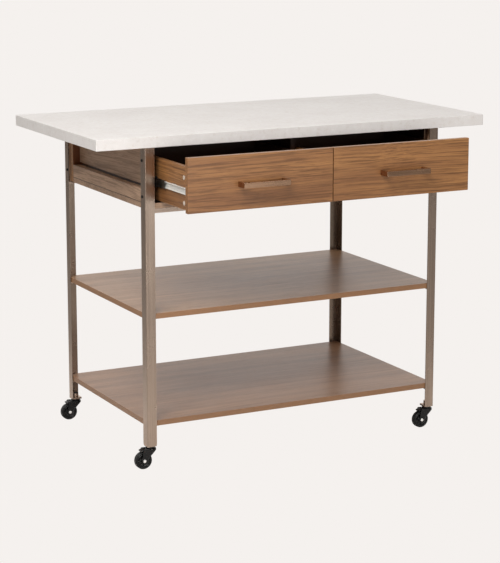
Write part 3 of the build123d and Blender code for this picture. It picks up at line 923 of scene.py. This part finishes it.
def aim(at: Iterable[float], direction: Iterable[float]) -> Matrix:
    """The place of a part that is drawn from the origin along Z.

    Args:
        at: Where its origin goes.
        direction: Where its Z points.

    Returns:
        The placing matrix.
    """
    turn = Vector(direction).to_track_quat("Z", "Y").to_matrix().to_4x4()
    return Matrix.Translation(Vector(at)) @ turn


def arc(centre: Span, radius: float, start: float, end: float, steps: int) -> list[Span]:
    """Points along an arc, both ends included.

    Args:
        centre: The arc's centre.
        radius: Its radius.
        start: Its first angle in degrees.
        end: Its last angle in degrees.
        steps: How many spans it is cut into.

    Returns:
        The points.
    """
    angles = [math.radians(start + (end - start) * step / steps) for step in range(steps + 1)]
    return [(centre[0] + radius * math.cos(a), centre[1] + radius * math.sin(a)) for a in angles]


class Piece:
    """One finished piece, gathered from closed parts that are already in their places."""

    def __init__(self, name: str) -> None:
        """Starts an empty piece."""
        self.name = name
        self.mesh = bmesh.new()

    def add(self, part: bmesh.types.BMesh, at: Matrix | None = None) -> None:
        """Takes a part in, moved to its place.

        Args:
            part: The part, which is used up.
            at: Its placing matrix, if it isn't in place yet.
        """
        if at is not None:
            part.transform(at)
        held = bpy.data.meshes.new("part")
        part.to_mesh(held)
        part.free()
        self.mesh.from_mesh(held)
        bpy.data.meshes.remove(held)

    def finish(
        self, material: bpy.types.Material, body: str, slot: str, replaces: Iterable[str] = ()
    ) -> bpy.types.Object:
        """Makes the object, smooth but for its sharp edges, and lets it ride.

        Args:
            material: Its finish.
            body: The body that it moves with.
            slot: A material slot's name for it; not used.
            replaces: The frame nodes that it stands for.

        Returns:
            The object.
        """
        for face in self.mesh.faces:
            face.smooth = True
        for edge in self.mesh.edges:
            edge.smooth = edge.calc_face_angle(0.0) < SHARP_ANGLE
        data = bpy.data.meshes.new(self.name)
        self.mesh.to_mesh(data)
        self.mesh.free()
        data.materials.append(material)
        made = bpy.data.objects.new(self.name, data)
        bpy.context.scene.collection.objects.link(made)
        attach(made, body)
        if replaces:
            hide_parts(*replaces)
        log.info("%s: %d faces on %s", self.name, len(data.polygons), body)
        return made


# ---- boards and frame -------------------------------------------------------------------------
@dataclass
class Boards:
    """Every wooden board, each with its own piece of the tree."""

    along_x: tuple[str, ...] = (
        "upper_shelf",
        "lower_shelf",
        "cabinet_bottom",
        "cabinet_back",
        "drawer_front_left",
        "drawer_front_right",
        "drawer_back_left",
        "drawer_back_right",
    )
    along_y: tuple[str, ...] = (
        "side_panel_left",
        "side_panel_right",
        "side_rails",
        "centre_partition",
        "drawer_outer_side_left",
        "drawer_outer_side_right",
        "drawer_inner_side_left",
        "drawer_inner_side_right",
    )
    along_z: tuple[str, ...] = ("corner_blocks",)
    first_heart: Place = (0.0, 0.03, 0.105)
    next_heart: Place = (0.37, 0.02, 0.006)
    shelf_look: dict[str, Any] = field(
        default_factory=lambda: {
            "pale": (190, 152, 118),
            "brown": (164, 128, 97),
            "dark": (110, 74, 50),
            "figure": 0.16,
            "lines": 0.36,
            "shade_colour": (172, 131, 95),
        }
    )
    end_look: dict[str, Any] = field(
        default_factory=lambda: {
            "pale": (194, 160, 132),
            "brown": (170, 138, 112),
            "dark": (102, 75, 56),
        }
    )
    ends: tuple[str, ...] = (
        "side_panel_left",
        "side_panel_right",
        "side_rails",
        "corner_blocks",
        "cabinet_bottom",
    )
    grooved: tuple[str, ...] = ("side_panel_left", "side_panel_right")
    # Painted shade in the side panels' groove: faces within this half-thickness of the board are darkened.
    groove_shade_reach: float = 0.0052
    # Painted shade: the lower shelf is the upper shelf's laminate in darker colours, for the shade that it
    # lies in.
    lower_shade_look: dict[str, Colour] = field(
        default_factory=lambda: {
            "pale": (172, 132, 100),
            "brown": (144, 108, 82),
            "shade_colour": (163, 124, 90),
        }
    )
    shaded_both_ways: tuple[str, ...] = ("centre_partition", "upper_shelf", "lower_shelf")
    # Painted shade on the cabinet back's front face, deep inside the cabinet.
    recess_shade_colour: Colour = (112, 64, 28)
    # Painted shade: for each board, the way its faces look into a drawer or the cabinet; on the shelves
    # these are the edges, given a duller tone.
    shade_facings: dict[str, Place] = field(
        default_factory=lambda: {
            "drawer_back_left": (0.0, -0.71, 0.71),
            "drawer_back_right": (0.0, -0.71, 0.71),
            "drawer_outer_side_left": (1.0, 0.0, 0.0),
            "drawer_inner_side_left": (-0.71, 0.0, 0.71),
            "drawer_outer_side_right": (-0.71, 0.0, 0.71),
            "drawer_inner_side_right": (0.71, 0.0, 0.71),
            "side_panel_left": (1.0, 0.0, 0.0),
            "side_panel_right": (-1.0, 0.0, 0.0),
            "cabinet_back": (0.0, -1.0, 0.0),
            "cabinet_bottom": (0.0, 0.0, 1.0),
            "centre_partition": (0.71, -0.71, 0.0),
            "upper_shelf": (0.71, 0.71, 0.0),
            "lower_shelf": (0.71, 0.71, 0.0),
        }
    )

    def dress(self) -> None:
        """Gives each board its own laminate."""
        runs = ((Along.X, self.along_x), (Along.Y, self.along_y), (Along.Z, self.along_z))
        for along, names in runs:
            for number, name in enumerate(names):
                heart = Vector(self.first_heart) + number * Vector(self.next_heart)
                finish = WalnutLaminate(
                    name.replace("_", " ").capitalize() + " walnut",
                    along,
                    tuple(middle(name)),
                    tuple(heart),
                    shade_facing=self.shade_facings.get(name),
                    shaded_both_ways=name in self.shaded_both_ways,
                    groove_shade=self.groove_shade_reach if name in self.grooved else None,
                    **self._look(name),
                )
                dress([name], finish.material())
        self._floors()

    def _look(self, name: str) -> dict[str, Any]:
        """The colours of a board that differ from the drawers' own.

        Args:
            name: The board's node.

        Returns:
            The settings of its laminate that aren't the usual ones.
        """
        if name == "lower_shelf":
            return {**self.shelf_look, **self.lower_shade_look}
        if name == "upper_shelf":
            return self.shelf_look
        if name == "cabinet_back":
            return {"shade_colour": self.recess_shade_colour}
        return self.end_look if name in self.ends else {}

    def _floors(self) -> None:
        """Gives the thin drawer floors a matt darker print."""
        matt = {"roughness": 0.6, "brown": (112, 78, 52), "pale": (134, 98, 68)}
        floor = WalnutLaminate("Drawer floor board", **matt)
        dress(["drawer_floor_left", "drawer_floor_right"], floor.material())


@dataclass
class Frame:
    """The coated steel: legs, stretchers, plates, sockets and the pulls."""

    pull_colour: Colour = (186, 151, 124)
    pull_shade: Colour = (160, 126, 100)
    slant: float = 0.71

    def dress(self) -> None:
        """Gives each length of steel a coat whose lines run along it."""
        for corner in CORNERS:
            end, side = corner.split("_")
            # Painted shade on the faces inside each leg's angle, which look in towards the cart.
            shade_side = (-self.slant * SIDES[side], self.slant if end == "front" else -self.slant, 0.0)
            leg = SatinSteel(f"Taupe leg {end} {side}", shade_side=shade_side)
            dress([f"leg_{corner}"], leg.material())
        dress(["caster_sockets"], SatinSteel("Taupe sockets").material())
        flat = SatinSteel("Taupe stretchers", Along.X).material()
        dress(["stretcher_front", "stretcher_back", "shelf_plates"], flat)
        pulls = SatinSteel("Bronze pulls", Along.X, self.pull_colour, self.pull_shade).material()
        dress(["handle_left", "handle_right"], pulls)
        dress(["worktop_brackets"], PlatedSteel("Plated brackets", Along.X).material())
        dress(["worktop"], StoneLaminate().material())


# ---- fasteners --------------------------------------------------------------------------------
@dataclass
class Fasteners:
    """Bolts with a hex socket through the legs, and cross-recess screws in shelves and fronts."""

    bolt_head: float = 4.2
    bolt_rise: float = 2.4
    bolt_length: float = 18.0
    plain_shank: float = 5.0
    thread_pitch: float = 1.0
    thread_root: float = 2.05
    thread_crest: float = 2.5
    sides: int = 24
    screw_head: float = 4.0
    screw_rise: float = 2.0
    plate: float = 3.0
    front_thickness: float = 15.0

    def build(self) -> None:
        """Builds every fastener in its place."""
        self._bolts()
        self._shelf_screws()
        for side in SIDES:
            self._handle_screws(side)

    def _bolt(self) -> bmesh.types.BMesh:
        """A button-head bolt whose head rises along Z from its seat.

        Returns:
            The mesh.
        """
        head, rise = self.bolt_head, self.bolt_rise
        rings = [Ring(1.4, -self.bolt_length), Ring(2.3, 1.2 - self.bolt_length)]
        threads = int((self.bolt_length - self.plain_shank) / self.thread_pitch)
        for turn in range(threads):
            low = 1.6 - self.bolt_length + turn * self.thread_pitch
            rings += [Ring(self.thread_root, low), Ring(self.thread_crest, low + 0.4)]
        rings += [Ring(2.4, 0.0), Ring(head, 0.0), Ring(head, 0.5), Ring(head * 0.93, 1.1)]
        rings += [Ring(head * 0.74, rise * 0.82), Ring(head * 0.56, rise), Ring(1.95, rise)]
        rings += [Ring(1.8, rise, Outline.HEX), Ring(1.75, rise - 1.5, Outline.HEX)]
        return turned([*rings, Ring(0.5, rise - 1.9)], self.sides)

    def _screw(self, length: float) -> bmesh.types.BMesh:
        """A pan-head screw with a cross recess, its head rising along Z from its seat.

        Args:
            length: How far it reaches below its seat, in millimetres.

        Returns:
            The mesh.
        """
        head, rise = self.screw_head, self.screw_rise
        rings = [Ring(0.4, -length), Ring(1.9, 1.6 - length), Ring(1.9, 0.0), Ring(head, 0.0)]
        rings += [Ring(head, 0.7), Ring(head * 0.92, 1.3), Ring(head * 0.74, rise * 0.9)]
        rings += [Ring(2.5, rise), Ring(2.2, rise, Outline.CROSS)]
        rings += [Ring(1.7, rise - 0.9, Outline.CROSS), Ring(0.4, rise - 1.5)]
        return turned(rings, self.sides)

    def _bolts(self) -> None:
        """Puts two bolts through each leg's side flange."""
        low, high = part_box("leg_bolts")
        seat, inset = high.x - self.bolt_rise * MM, self.bolt_head * MM
        bolts = Piece("leg_bolt_set")
        for way in (-1, 1):
            for y in (low.y + inset, high.y - inset):
                for z in (low.z + inset, high.z - inset):
                    bolts.add(self._bolt(), aim((way * seat, y, z), (way, 0, 0)))
        oxide = {"highlight_colour": (52, 50, 48), "roughness": 0.45, "specular": 0.25}
        black = DarkCoat("Black oxide", (16, 14, 13), **oxide).material()
        bolts.finish(black, "cart_frame", "black_bolts", ["leg_bolts"])

    def _shelf_screws(self) -> None:
        """Puts one screw up through each shelf plate."""
        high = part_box("shelf_screws")[1]
        inset = self.screw_head * MM
        screws = Piece("shelf_screw_set")
        for shelf in ("upper_shelf", "lower_shelf"):
            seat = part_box(shelf)[0].z - self.plate * MM
            for x in (-1, 1):
                for y in (-1, 1):
                    at = (x * (high.x - inset), y * (high.y - inset), seat)
                    screws.add(self._screw(self.plate), aim(at, (0, 0, -1)))
        screws.finish(bright_steel(), "cart_frame", "bright_steel", ["shelf_screws"])

    def _handle_screws(self, side: str) -> None:
        """Puts two screws through a drawer front into its pull.

        Args:
            side: Which drawer.
        """
        node = f"handle_screws_{side}"
        low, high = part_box(node)
        inset = self.screw_head * MM
        screws = Piece(f"pull_screws_{side}")
        for x in (low.x + inset, high.x - inset):
            at = (x, high.y - self.screw_rise * MM, (low.z + high.z) / 2)
            screws.add(self._screw(self.front_thickness), aim(at, (0, 1, 0)))
        screws.finish(bright_steel(), f"drawer_{side}", "bright_steel", [node])


@cache
def bright_steel() -> bpy.types.Material:
    """The plated steel that every small fastener shares."""
    return PlatedSteel("Bright steel", Along.Z, roughness=0.24).material()


@cache
def polished_steel() -> bpy.types.Material:
    """The bright plating of the caster axles."""
    bright = {"colour": (240, 239, 236), "shade": (226, 224, 220)}
    return PlatedSteel("Polished axle", **bright, roughness=0.2, metallic=0.15).material()


# ---- drawer slides ----------------------------------------------------------------------------
@dataclass(frozen=True)
class Channel:
    """A rolled C-section, in millimetres out from its wall and about its own mid-height."""

    height: float
    reach: float
    gauge: float = 1.2
    corner: float = 2.2
    hook: float = 0.5

    def section(self, wall: float, inward: int, centre: float) -> list[tuple[float, float]]:
        """The section's corners as x and z in metres.

        Args:
            wall: The x of the face that its web lies on.
            inward: The way that its lips point.
            centre: Its mid-height.

        Returns:
            The closed outline.
        """
        half, bend, gauge = self.height / 2, self.corner, self.gauge
        outer = [(self.reach - gauge, half), *arc((bend, half - bend), bend, 90, 180, 5)]
        inner = arc((bend, half - bend), bend - gauge, 180, 90, 4)
        lip = [(self.reach - gauge, half - gauge), (self.reach - gauge, half - gauge - self.hook)]
        lip += [(self.reach, half - gauge - self.hook), (self.reach, half - gauge * 0.6)]
        lower_outer = [(u, -v) for u, v in reversed(outer)]
        lower_inner = [(u, -v) for u, v in reversed(inner)]
        lower_lip = [(u, -v) for u, v in reversed(lip)]
        whole = outer + lower_outer + lower_lip + lower_inner + inner + lip
        return [(wall + inward * u * MM, centre + v * MM) for u, v in whole]


@dataclass
class Slides:
    """The drawers' ball slides: a member on each wall, one on each drawer side, a cage between."""

    cabinet: Channel = Channel(27.0, 8.6)
    cage: Channel = Channel(22.4, 6.0, gauge=0.9, corner=1.6, hook=0.0)
    drawer: Channel = Channel(17.6, 5.6, gauge=1.2, corner=1.8, hook=0.4)
    standoff: float = 2.4
    bumper_length: float = 18.0
    ball_radius: float = 1.7
    ball_pitch: float = 18.0
    ball_reach: float = 3.6
    slots: tuple[Span, ...] = (
        (0.06, 0.09),
        (0.2, 0.29),
        (0.36, 0.39),
        (0.5, 0.59),
        (0.68, 0.71),
        (0.82, 0.91),
    )
    slot_margin: float = 0.27
    slot_corner: float = 1.2
    slot_lip: float = 0.3
    slot_depth: float = 0.7
    screws: tuple[float, ...] = (0.03, 0.33, 0.64, 0.96)

    def build(self) -> None:
        """Builds the members, the cages with their balls, and dresses the bumpers."""
        bright = {"colour": (244, 243, 238), "shade": (218, 215, 208)}
        dull = {"colour": (120, 118, 114), "shade": (78, 76, 74)}
        zinc = PlatedSteel("Zinc slides", **bright, roughness=0.34, metallic=0.2).material()
        fixed = Piece("wall_members")
        for side in SIDES:
            moving, cages = Piece(f"drawer_members_{side}"), Piece(f"ball_cage_pair_{side}")
            for wall, inward, front, drawer_wall in self._walls(side):
                self._member(fixed, self.cabinet, wall, inward, (front, front + self._wall_length()))
                self._member(moving, self.drawer, drawer_wall, -inward, self._drawer_run(side))
                self._cage(cages, side, wall + inward * self.standoff * MM, inward)
            moving.finish(zinc, f"drawer_{side}", "zinc_slides", [f"drawer_slides_{side}"])
            grey = PlatedSteel(f"Dull cage {side}", **dull).material()
            cages.finish(grey, f"slide_cages_{side}", "zinc_slides", [f"ball_cages_{side}"])
        fixed.finish(zinc, "cart_frame", "zinc_slides", ["cabinet_slides"])
        dress(["slide_bumpers"], DarkCoat("Bumper plastic", (24, 24, 24), roughness=0.5).material())

    def _walls(self, side: str) -> list[tuple[float, int, float, float]]:
        """Each pair of faces that a slide joins.

        Args:
            side: Which drawer.

        Returns:
            The cabinet face's x, the way inward from it, the member's front end, the drawer face's x.
        """
        way = SIDES[side]
        panel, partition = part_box(f"side_panel_{side}"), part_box("centre_partition")
        outer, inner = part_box(f"drawer_outer_side_{side}"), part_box(f"drawer_inner_side_{side}")
        near, far = (0, 1) if way > 0 else (1, 0)
        bumper = self.bumper_length * MM
        return [
            (panel[near].x, -way, panel[0].y + bumper, outer[far].x),
            (partition[far].x, way, partition[0].y + bumper, inner[near].x),
        ]

    def _wall_length(self) -> float:
        """The length of a wall member behind its bumper."""
        low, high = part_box("drawer_outer_side_left")
        return high.y - low.y - self.bumper_length * MM

    def _drawer_run(self, side: str) -> Span:
        """The two ends of a drawer's own members."""
        low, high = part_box(f"drawer_slides_{side}")
        return low.y, high.y

    def _height(self) -> float:
        """The mid-height of every slide."""
        return middle("cabinet_slides").z

    def _member(self, piece: Piece, channel: Channel, wall: float, inward: int, run: Span) -> None:
        """Adds one rolled member with pressed slots and its screws.

        Args:
            piece: The piece that it joins.
            channel: Its section.
            wall: The x of the face that it lies on.
            inward: The way that its lips point.
            run: Its two ends along Y.
        """
        start, length = run[0], run[1] - run[0]
        cuts = [0.0] + [cut for slot in self.slots for cut in slot] + [1.0]
        section = channel.section(wall, inward, self._height())
        mesh = drawn(section, [start + length * cut for cut in cuts])
        web = wall + inward * channel.gauge * MM
        for first, last in self.slots:
            self._press(mesh, channel, (web, start + length * (first + last) / 2), inward)
        piece.add(mesh)
        for share in self.screws:
            rings = [Ring(2.9, 0.0), Ring(2.8, 0.35), Ring(2.2, 0.85), Ring(1.5, 0.95)]
            rings += [Ring(1.4, 0.95, Outline.CROSS), Ring(1.1, 0.35, Outline.CROSS)]
            at = (web, start + length * share, self._height())
            piece.add(turned(rings, 24), aim(at, (inward, 0, 0)))

    def _press(self, mesh: bmesh.types.BMesh, channel: Channel, at: Span, inward: int) -> None:
        """Presses one round-cornered slot into a member's web.

        Args:
            mesh: The member.
            channel: Its section.
            at: The x of its web's face, and the y of the slot's middle.
            inward: The way that its lips point.
        """
        web, middle_y = at
        pressed = [
            face
            for face in mesh.faces
            if abs(face.calc_center_median().x - web) < 0.1 * MM
            and abs(face.calc_center_median().y - middle_y) < MM
        ]
        margin = channel.height * self.slot_margin * MM
        bmesh.ops.inset_individual(mesh, faces=pressed, thickness=margin)
        bmesh.ops.bevel(
            mesh,
            geom=[corner for face in pressed for corner in face.verts],
            offset=self.slot_corner * MM,
            affect="VERTICES",
            segments=3,
            profile=0.5,
            material=-1,
        )
        pressed = [face for face in pressed if face.is_valid]
        bmesh.ops.inset_individual(mesh, faces=pressed, thickness=self.slot_lip * MM)
        sunk = list({corner for face in pressed if face.is_valid for corner in face.verts})
        bmesh.ops.translate(mesh, verts=sunk, vec=(-inward * self.slot_depth * MM, 0, 0))

    def _cage(self, piece: Piece, side: str, near: float, inward: int) -> None:
        """Adds one cage strip and its two rows of balls.

        Args:
            piece: The piece that it joins.
            side: Which drawer.
            near: The x of its web.
            inward: The way that its lips point.
        """
        low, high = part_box(f"ball_cages_{side}")
        piece.add(drawn(self.cage.section(near, inward, self._height()), [low.y, high.y]))
        count = int((high.y - low.y) / (self.ball_pitch * MM))
        margin = ((high.y - low.y) - (count - 1) * self.ball_pitch * MM) / 2
        for way in (-1, 1):
            z = self._height() + way * (self.cage.height / 2 - self.cage.gauge / 2) * MM
            for number in range(count):
                ball = bmesh.new()
                bmesh.ops.create_icosphere(ball, subdivisions=2, radius=self.ball_radius * MM)
                y = low.y + margin + number * self.ball_pitch * MM
                piece.add(ball, Matrix.Translation((near + inward * self.ball_reach * MM, y, z)))


@dataclass
class CamCaps:
    """The pale caps over the cam fittings in the drawer sides."""

    radius: float = 6.2

    def build(self) -> None:
        """Builds four caps on each drawer."""
        pale = DarkCoat("Cap plastic", (238, 222, 204), highlight_colour=(246, 238, 226)).material()
        for side in SIDES:
            low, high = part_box(f"cam_caps_{side}")
            caps = Piece(f"cam_cap_set_{side}")
            faces = [(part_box(f"drawer_{where}_side_{side}"), where) for where in ("outer", "inner")]
            for (wall_low, wall_high), where in faces:
                way = SIDES[side] if where == "outer" else -SIDES[side]
                x = wall_high.x if way > 0 else wall_low.x
                for z in (low.z + self.radius * MM, high.z - self.radius * MM):
                    at = (x, (low.y + high.y) / 2, z)
                    caps.add(self._cap(), aim(at, (way, 0, 0)))
            caps.finish(pale, f"drawer_{side}", "cam_cap_plastic", [f"cam_caps_{side}"])

    def _cap(self) -> bmesh.types.BMesh:
        """A thin domed disc with a shallow dimple.

        Returns:
            The mesh.
        """
        rim = self.radius
        rings = [Ring(rim, 0.0), Ring(rim, 0.35), Ring(rim - 0.3, 0.65), Ring(rim - 0.9, 0.8)]
        return turned([*rings, Ring(3.0, 0.8), Ring(2.6, 0.45), Ring(0.6, 0.35)], 32)


# ---- casters ----------------------------------------------------------------------------------
@dataclass
class Caster:
    """One swivel caster: a pressed fork, a moulded wheel, an axle bolt and a foot brake."""

    corner: str
    trail: float = 22.0
    gap: float = 21.0
    plate: float = 2.0
    crown_depth: float = 7.0
    spokes: int = 8
    ribs: int = 3
    rib_pitch: float = 2.2
    rib_half: float = 0.45
    bore: float = 5.06
    pad_gap: float = 0.8
    rib_margin: float = 1.6
    hub: Vector = field(init=False)
    crown: Vector = field(init=False)
    outside: float = field(init=False)

    def __post_init__(self) -> None:
        """Works out the places that the frame gives."""
        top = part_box(f"caster_fork_{self.corner}")[1].z
        self.hub = middle(f"caster_wheel_{self.corner}")
        self.crown = Vector((self.hub.x + self.trail * MM, self.hub.y, top))
        self.outside = (self.gap / 2 + self.plate) * MM

    def build(
        self, coat: bpy.types.Material, tyre: bpy.types.Material, moulding: bpy.types.Material
    ) -> None:
        """Builds the caster.

        Args:
            coat: The fork's finish.
            tyre: The tread's finish.
            moulding: The finish of the wheel's centre and the brake.
        """
        body, wheel = f"caster_{self.corner}", f"wheel_{self.corner}"
        fork, axle = f"caster_fork_{self.corner}", f"caster_axle_{self.corner}"
        wheel_node, lever = f"caster_wheel_{self.corner}", f"brake_lever_{self.corner}"
        self._fork().finish(coat, body, "caster_black_steel", [fork])
        self._axle().finish(polished_steel(), body, "bright_steel", [axle])
        self._tyre().finish(tyre, wheel, "caster_black_rubber", [wheel_node])
        self._centre().finish(moulding, wheel, "caster_black_rubber", [wheel_node])
        self._brake().finish(moulding, f"brake_{self.corner}", "black_plastic", [lever])

    def _side_on(self, outline: Sequence[Span], ends: Span) -> bmesh.types.BMesh:
        """A bar along Y whose outline is drawn from the crown's centre.

        Args:
            outline: Its corners as x and z in millimetres.
            ends: How far its two ends stand from the wheel's middle, in metres.

        Returns:
            The mesh.
        """
        corners = [(self.crown.x + x * MM, self.crown.z + z * MM) for x, z in outline]
        return drawn(corners, [self.hub.y + ends[0], self.hub.y + ends[1]])

    def _tyre(self) -> Piece:
        """The soft tread, with a moulding line round its middle.

        Returns:
            The piece.
        """
        half = [Ring(19.2, 8.2), Ring(20.8, 8.6), Ring(22.2, 8.4), Ring(23.3, 7.4)]
        half += [Ring(23.9, 5.8), Ring(24.0, 3.6), Ring(24.0, 0.9), Ring(23.75, 0.6)]
        piece = Piece(f"caster_tyre_{self.corner}")
        piece.add(turned(both_ends(half), 64, hollow=True), aim(self.hub, (0, 1, 0)))
        return piece

    def _centre(self) -> Piece:
        """The hard wheel centre: a hub, a dished web with spokes, and a rim.

        Returns:
            The piece.
        """
        half = [Ring(3.1, 9.0), Ring(7.0, 9.0), Ring(7.6, 8.5), Ring(8.0, 6.0), Ring(9.0, 5.4)]
        half += [Ring(16.0, 5.4), Ring(16.9, 6.0), Ring(17.3, 8.0), Ring(17.8, 8.4)]
        half += [Ring(18.7, 8.4), Ring(19.1, 8.0)]
        piece = Piece(f"caster_centre_{self.corner}")
        lying = aim(self.hub, (0, 1, 0))
        piece.add(turned(both_ends(half), 64, hollow=True), lying)
        for number in range(self.spokes):
            turn = Matrix.Rotation(2 * math.pi * number / self.spokes, 4, "Z")
            for way in (-1, 1):
                root = (7.4 * MM, -0.8 * MM, way * 5.2 * MM)
                spoke = block(root, (17.2 * MM, 0.8 * MM, way * 7.6 * MM))
                bmesh.ops.recalc_face_normals(spoke, faces=spoke.faces)
                piece.add(ease(spoke, 0.35 * MM), lying @ turn)
        return piece

    def _fork(self) -> Piece:
        """Two pressed plates with a swelled eye for the axle, under a crown with its ball race.

        Returns:
            The piece.
        """
        bottom = -self.crown_depth
        rings = [Ring(self.bore, bottom), Ring(15.0, bottom), Ring(15.9, bottom + 0.8)]
        rings += [Ring(16.0, bottom + 2.8), Ring(15.5, bottom + 3.3), Ring(14.7, bottom + 3.4)]
        rings += [Ring(14.7, bottom + 4.0), Ring(15.5, bottom + 4.1), Ring(15.9, bottom + 4.7)]
        rings += [Ring(15.6, -1.2), Ring(14.4, -0.3), Ring(12.8, 0.0), Ring(9.0, 0.0)]
        rings += [Ring(8.2, -0.5), Ring(self.bore, -0.5)]
        piece = Piece(f"caster_body_{self.corner}")
        piece.add(turned(rings, 48, hollow=True), Matrix.Translation(self.crown))
        eye = arc((-self.trail, self.hub.z / MM - self.crown.z / MM), 8.5, 166, 324, 14)
        back = [(-25.0, -6.0), (-23.6, -1.6), (-21.0, 0.0), (10.0, -1.6)]
        outline = [(10.0, -7.0), (-2.0, -19.0), *reversed(eye), *back]
        rivet_seat = [Ring(6.6, -1.0), Ring(6.6, -0.2), Ring(6.1, 0.0), Ring(3.1, 0.0), Ring(3.1, -1.0)]
        for way in (-1, 1):
            plate = self._side_on(outline, (way * self.gap / 2 * MM, way * self.outside))
            face = max(plate.faces, key=lambda item: way * item.calc_center_median().y)
            bmesh.ops.inset_region(plate, faces=[face], thickness=1.8 * MM, depth=0.0)
            bmesh.ops.inset_region(plate, faces=[face], thickness=0.7 * MM, depth=-0.6 * MM)
            piece.add(ease(plate, 0.3 * MM, sharper_than=50.0))
            at = (self.hub.x, self.hub.y + way * self.outside, self.hub.z)
            piece.add(turned(rivet_seat, 32, hollow=True), aim(at, (0, way, 0)))
        return piece

    def _axle(self) -> Piece:
        """A domed rivet through fork and wheel, dimpled at both ends.

        Returns:
            The piece.
        """
        half = self.outside / MM
        rivet = [Ring(0.4, half + 1.5), Ring(1.2, half + 1.6), Ring(1.6, half + 1.75)]
        rivet += [Ring(2.9, half + 1.6), Ring(3.7, half + 1.3), Ring(4.2, half + 0.9)]
        rivet += [Ring(4.4, half + 0.5), Ring(4.4, half), Ring(2.9, half)]
        piece = Piece(f"axle_bolt_{self.corner}")
        piece.add(turned(both_ends(rivet), 24), aim(self.hub, (0, 1, 0)))
        return piece

    def _brake(self) -> Piece:
        """A foot pad with ribs across its tread, on a pin between the fork plates.

        Returns:
            The piece.
        """
        half = self.gap / 2 - self.pad_gap
        toe = arc((-29.0, -6.0), 2.2, 95, 262, 7)
        outline = [(-17.1, -2.6), (-20.0, -1.2), (-24.6, -2.0), *toe, (-17.1, -5.7)]
        piece = Piece(f"foot_brake_{self.corner}")
        piece.add(ease(self._side_on(outline, (-half * MM, half * MM)), 0.5 * MM))
        across = (half - self.rib_margin) * MM
        for number in range(self.ribs):
            x = self.crown.x - (20.8 + self.rib_pitch * number) * MM
            top = self.crown.z - (0.7 + 0.4 * number) * MM
            low = (x - self.rib_half * MM, self.hub.y - across, self.crown.z - 2.6 * MM)
            rib = block(low, (x + self.rib_half * MM, self.hub.y + across, top))
            piece.add(ease(rib, 0.2 * MM))
        reach = self.outside / MM
        pin = [Ring(1.9, reach + 0.4), Ring(2.2, reach + 0.1), Ring(2.2, reach), Ring(1.5, reach)]
        at = (self.crown.x - 19.5 * MM, self.hub.y, self.crown.z - 3.5 * MM)
        piece.add(turned(both_ends(pin), 20), aim(at, (0, 1, 0)))
        return piece


@dataclass
class Casters:
    """All four casters, and the stems that hold them."""

    collar: float = 13.0

    def build(self) -> None:
        """Builds each corner with shared finishes."""
        coat = DarkCoat("Caster coat", (9, 9, 10), roughness=0.26, specular=0.4).material()
        tyre = DarkCoat("Caster tyre", (8, 8, 8), roughness=0.46, specular=0.3).material()
        moulding = DarkCoat("Caster moulding", (8, 8, 9), roughness=0.3, specular=0.4).material()
        for corner in CORNERS:
            Caster(corner).build(coat, tyre, moulding)
        self._stems(coat)

    def _stems(self, coat: bpy.types.Material) -> None:
        """Turns the four stems, each with a stepped collar under its leg.

        Args:
            coat: The stems' finish.
        """
        low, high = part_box("caster_stems")
        collar_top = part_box("caster_sockets")[0].z
        collar, base = self.collar, low.z
        shoulder, top = [(z - base) / MM for z in (collar_top, high.z)]
        bottom = (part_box(f"caster_fork_{CORNERS[0]}")[1].z - base) / MM + 0.3
        rings = [Ring(8.0, 0.0), Ring(8.0, 2.0), Ring(5.0, 2.0), Ring(5.0, bottom)]
        rings += [Ring(collar - 0.6, bottom), Ring(collar, bottom + 0.5), Ring(collar, bottom + 2.0)]
        rings += [Ring(collar - 1.2, bottom + 2.2), Ring(collar - 1.2, shoulder)]
        rings += [Ring(5.0, shoulder), Ring(5.0, top - 1.0), Ring(4.2, top)]
        stems = Piece("caster_stem_set")
        for way in (-1, 1):
            for y in (low.y + collar * MM, high.y - collar * MM):
                at = (way * (high.x - collar * MM), y, base)
                stems.add(turned(rings, 40), Matrix.Translation(at))
        stems.finish(coat, "cart_frame", "bright_steel", ["caster_stems"])


def main() -> None:
    """Builds the studio and the cart in order."""
    logging.basicConfig(level=logging.INFO, format="%(message)s")
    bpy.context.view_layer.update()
    Studio().build()
    Boards().dress()
    Frame().dress()
    Fasteners().build()
    Slides().build()
    CamCaps().build()
    Casters().build()


if __name__ == "__main__":
    main()
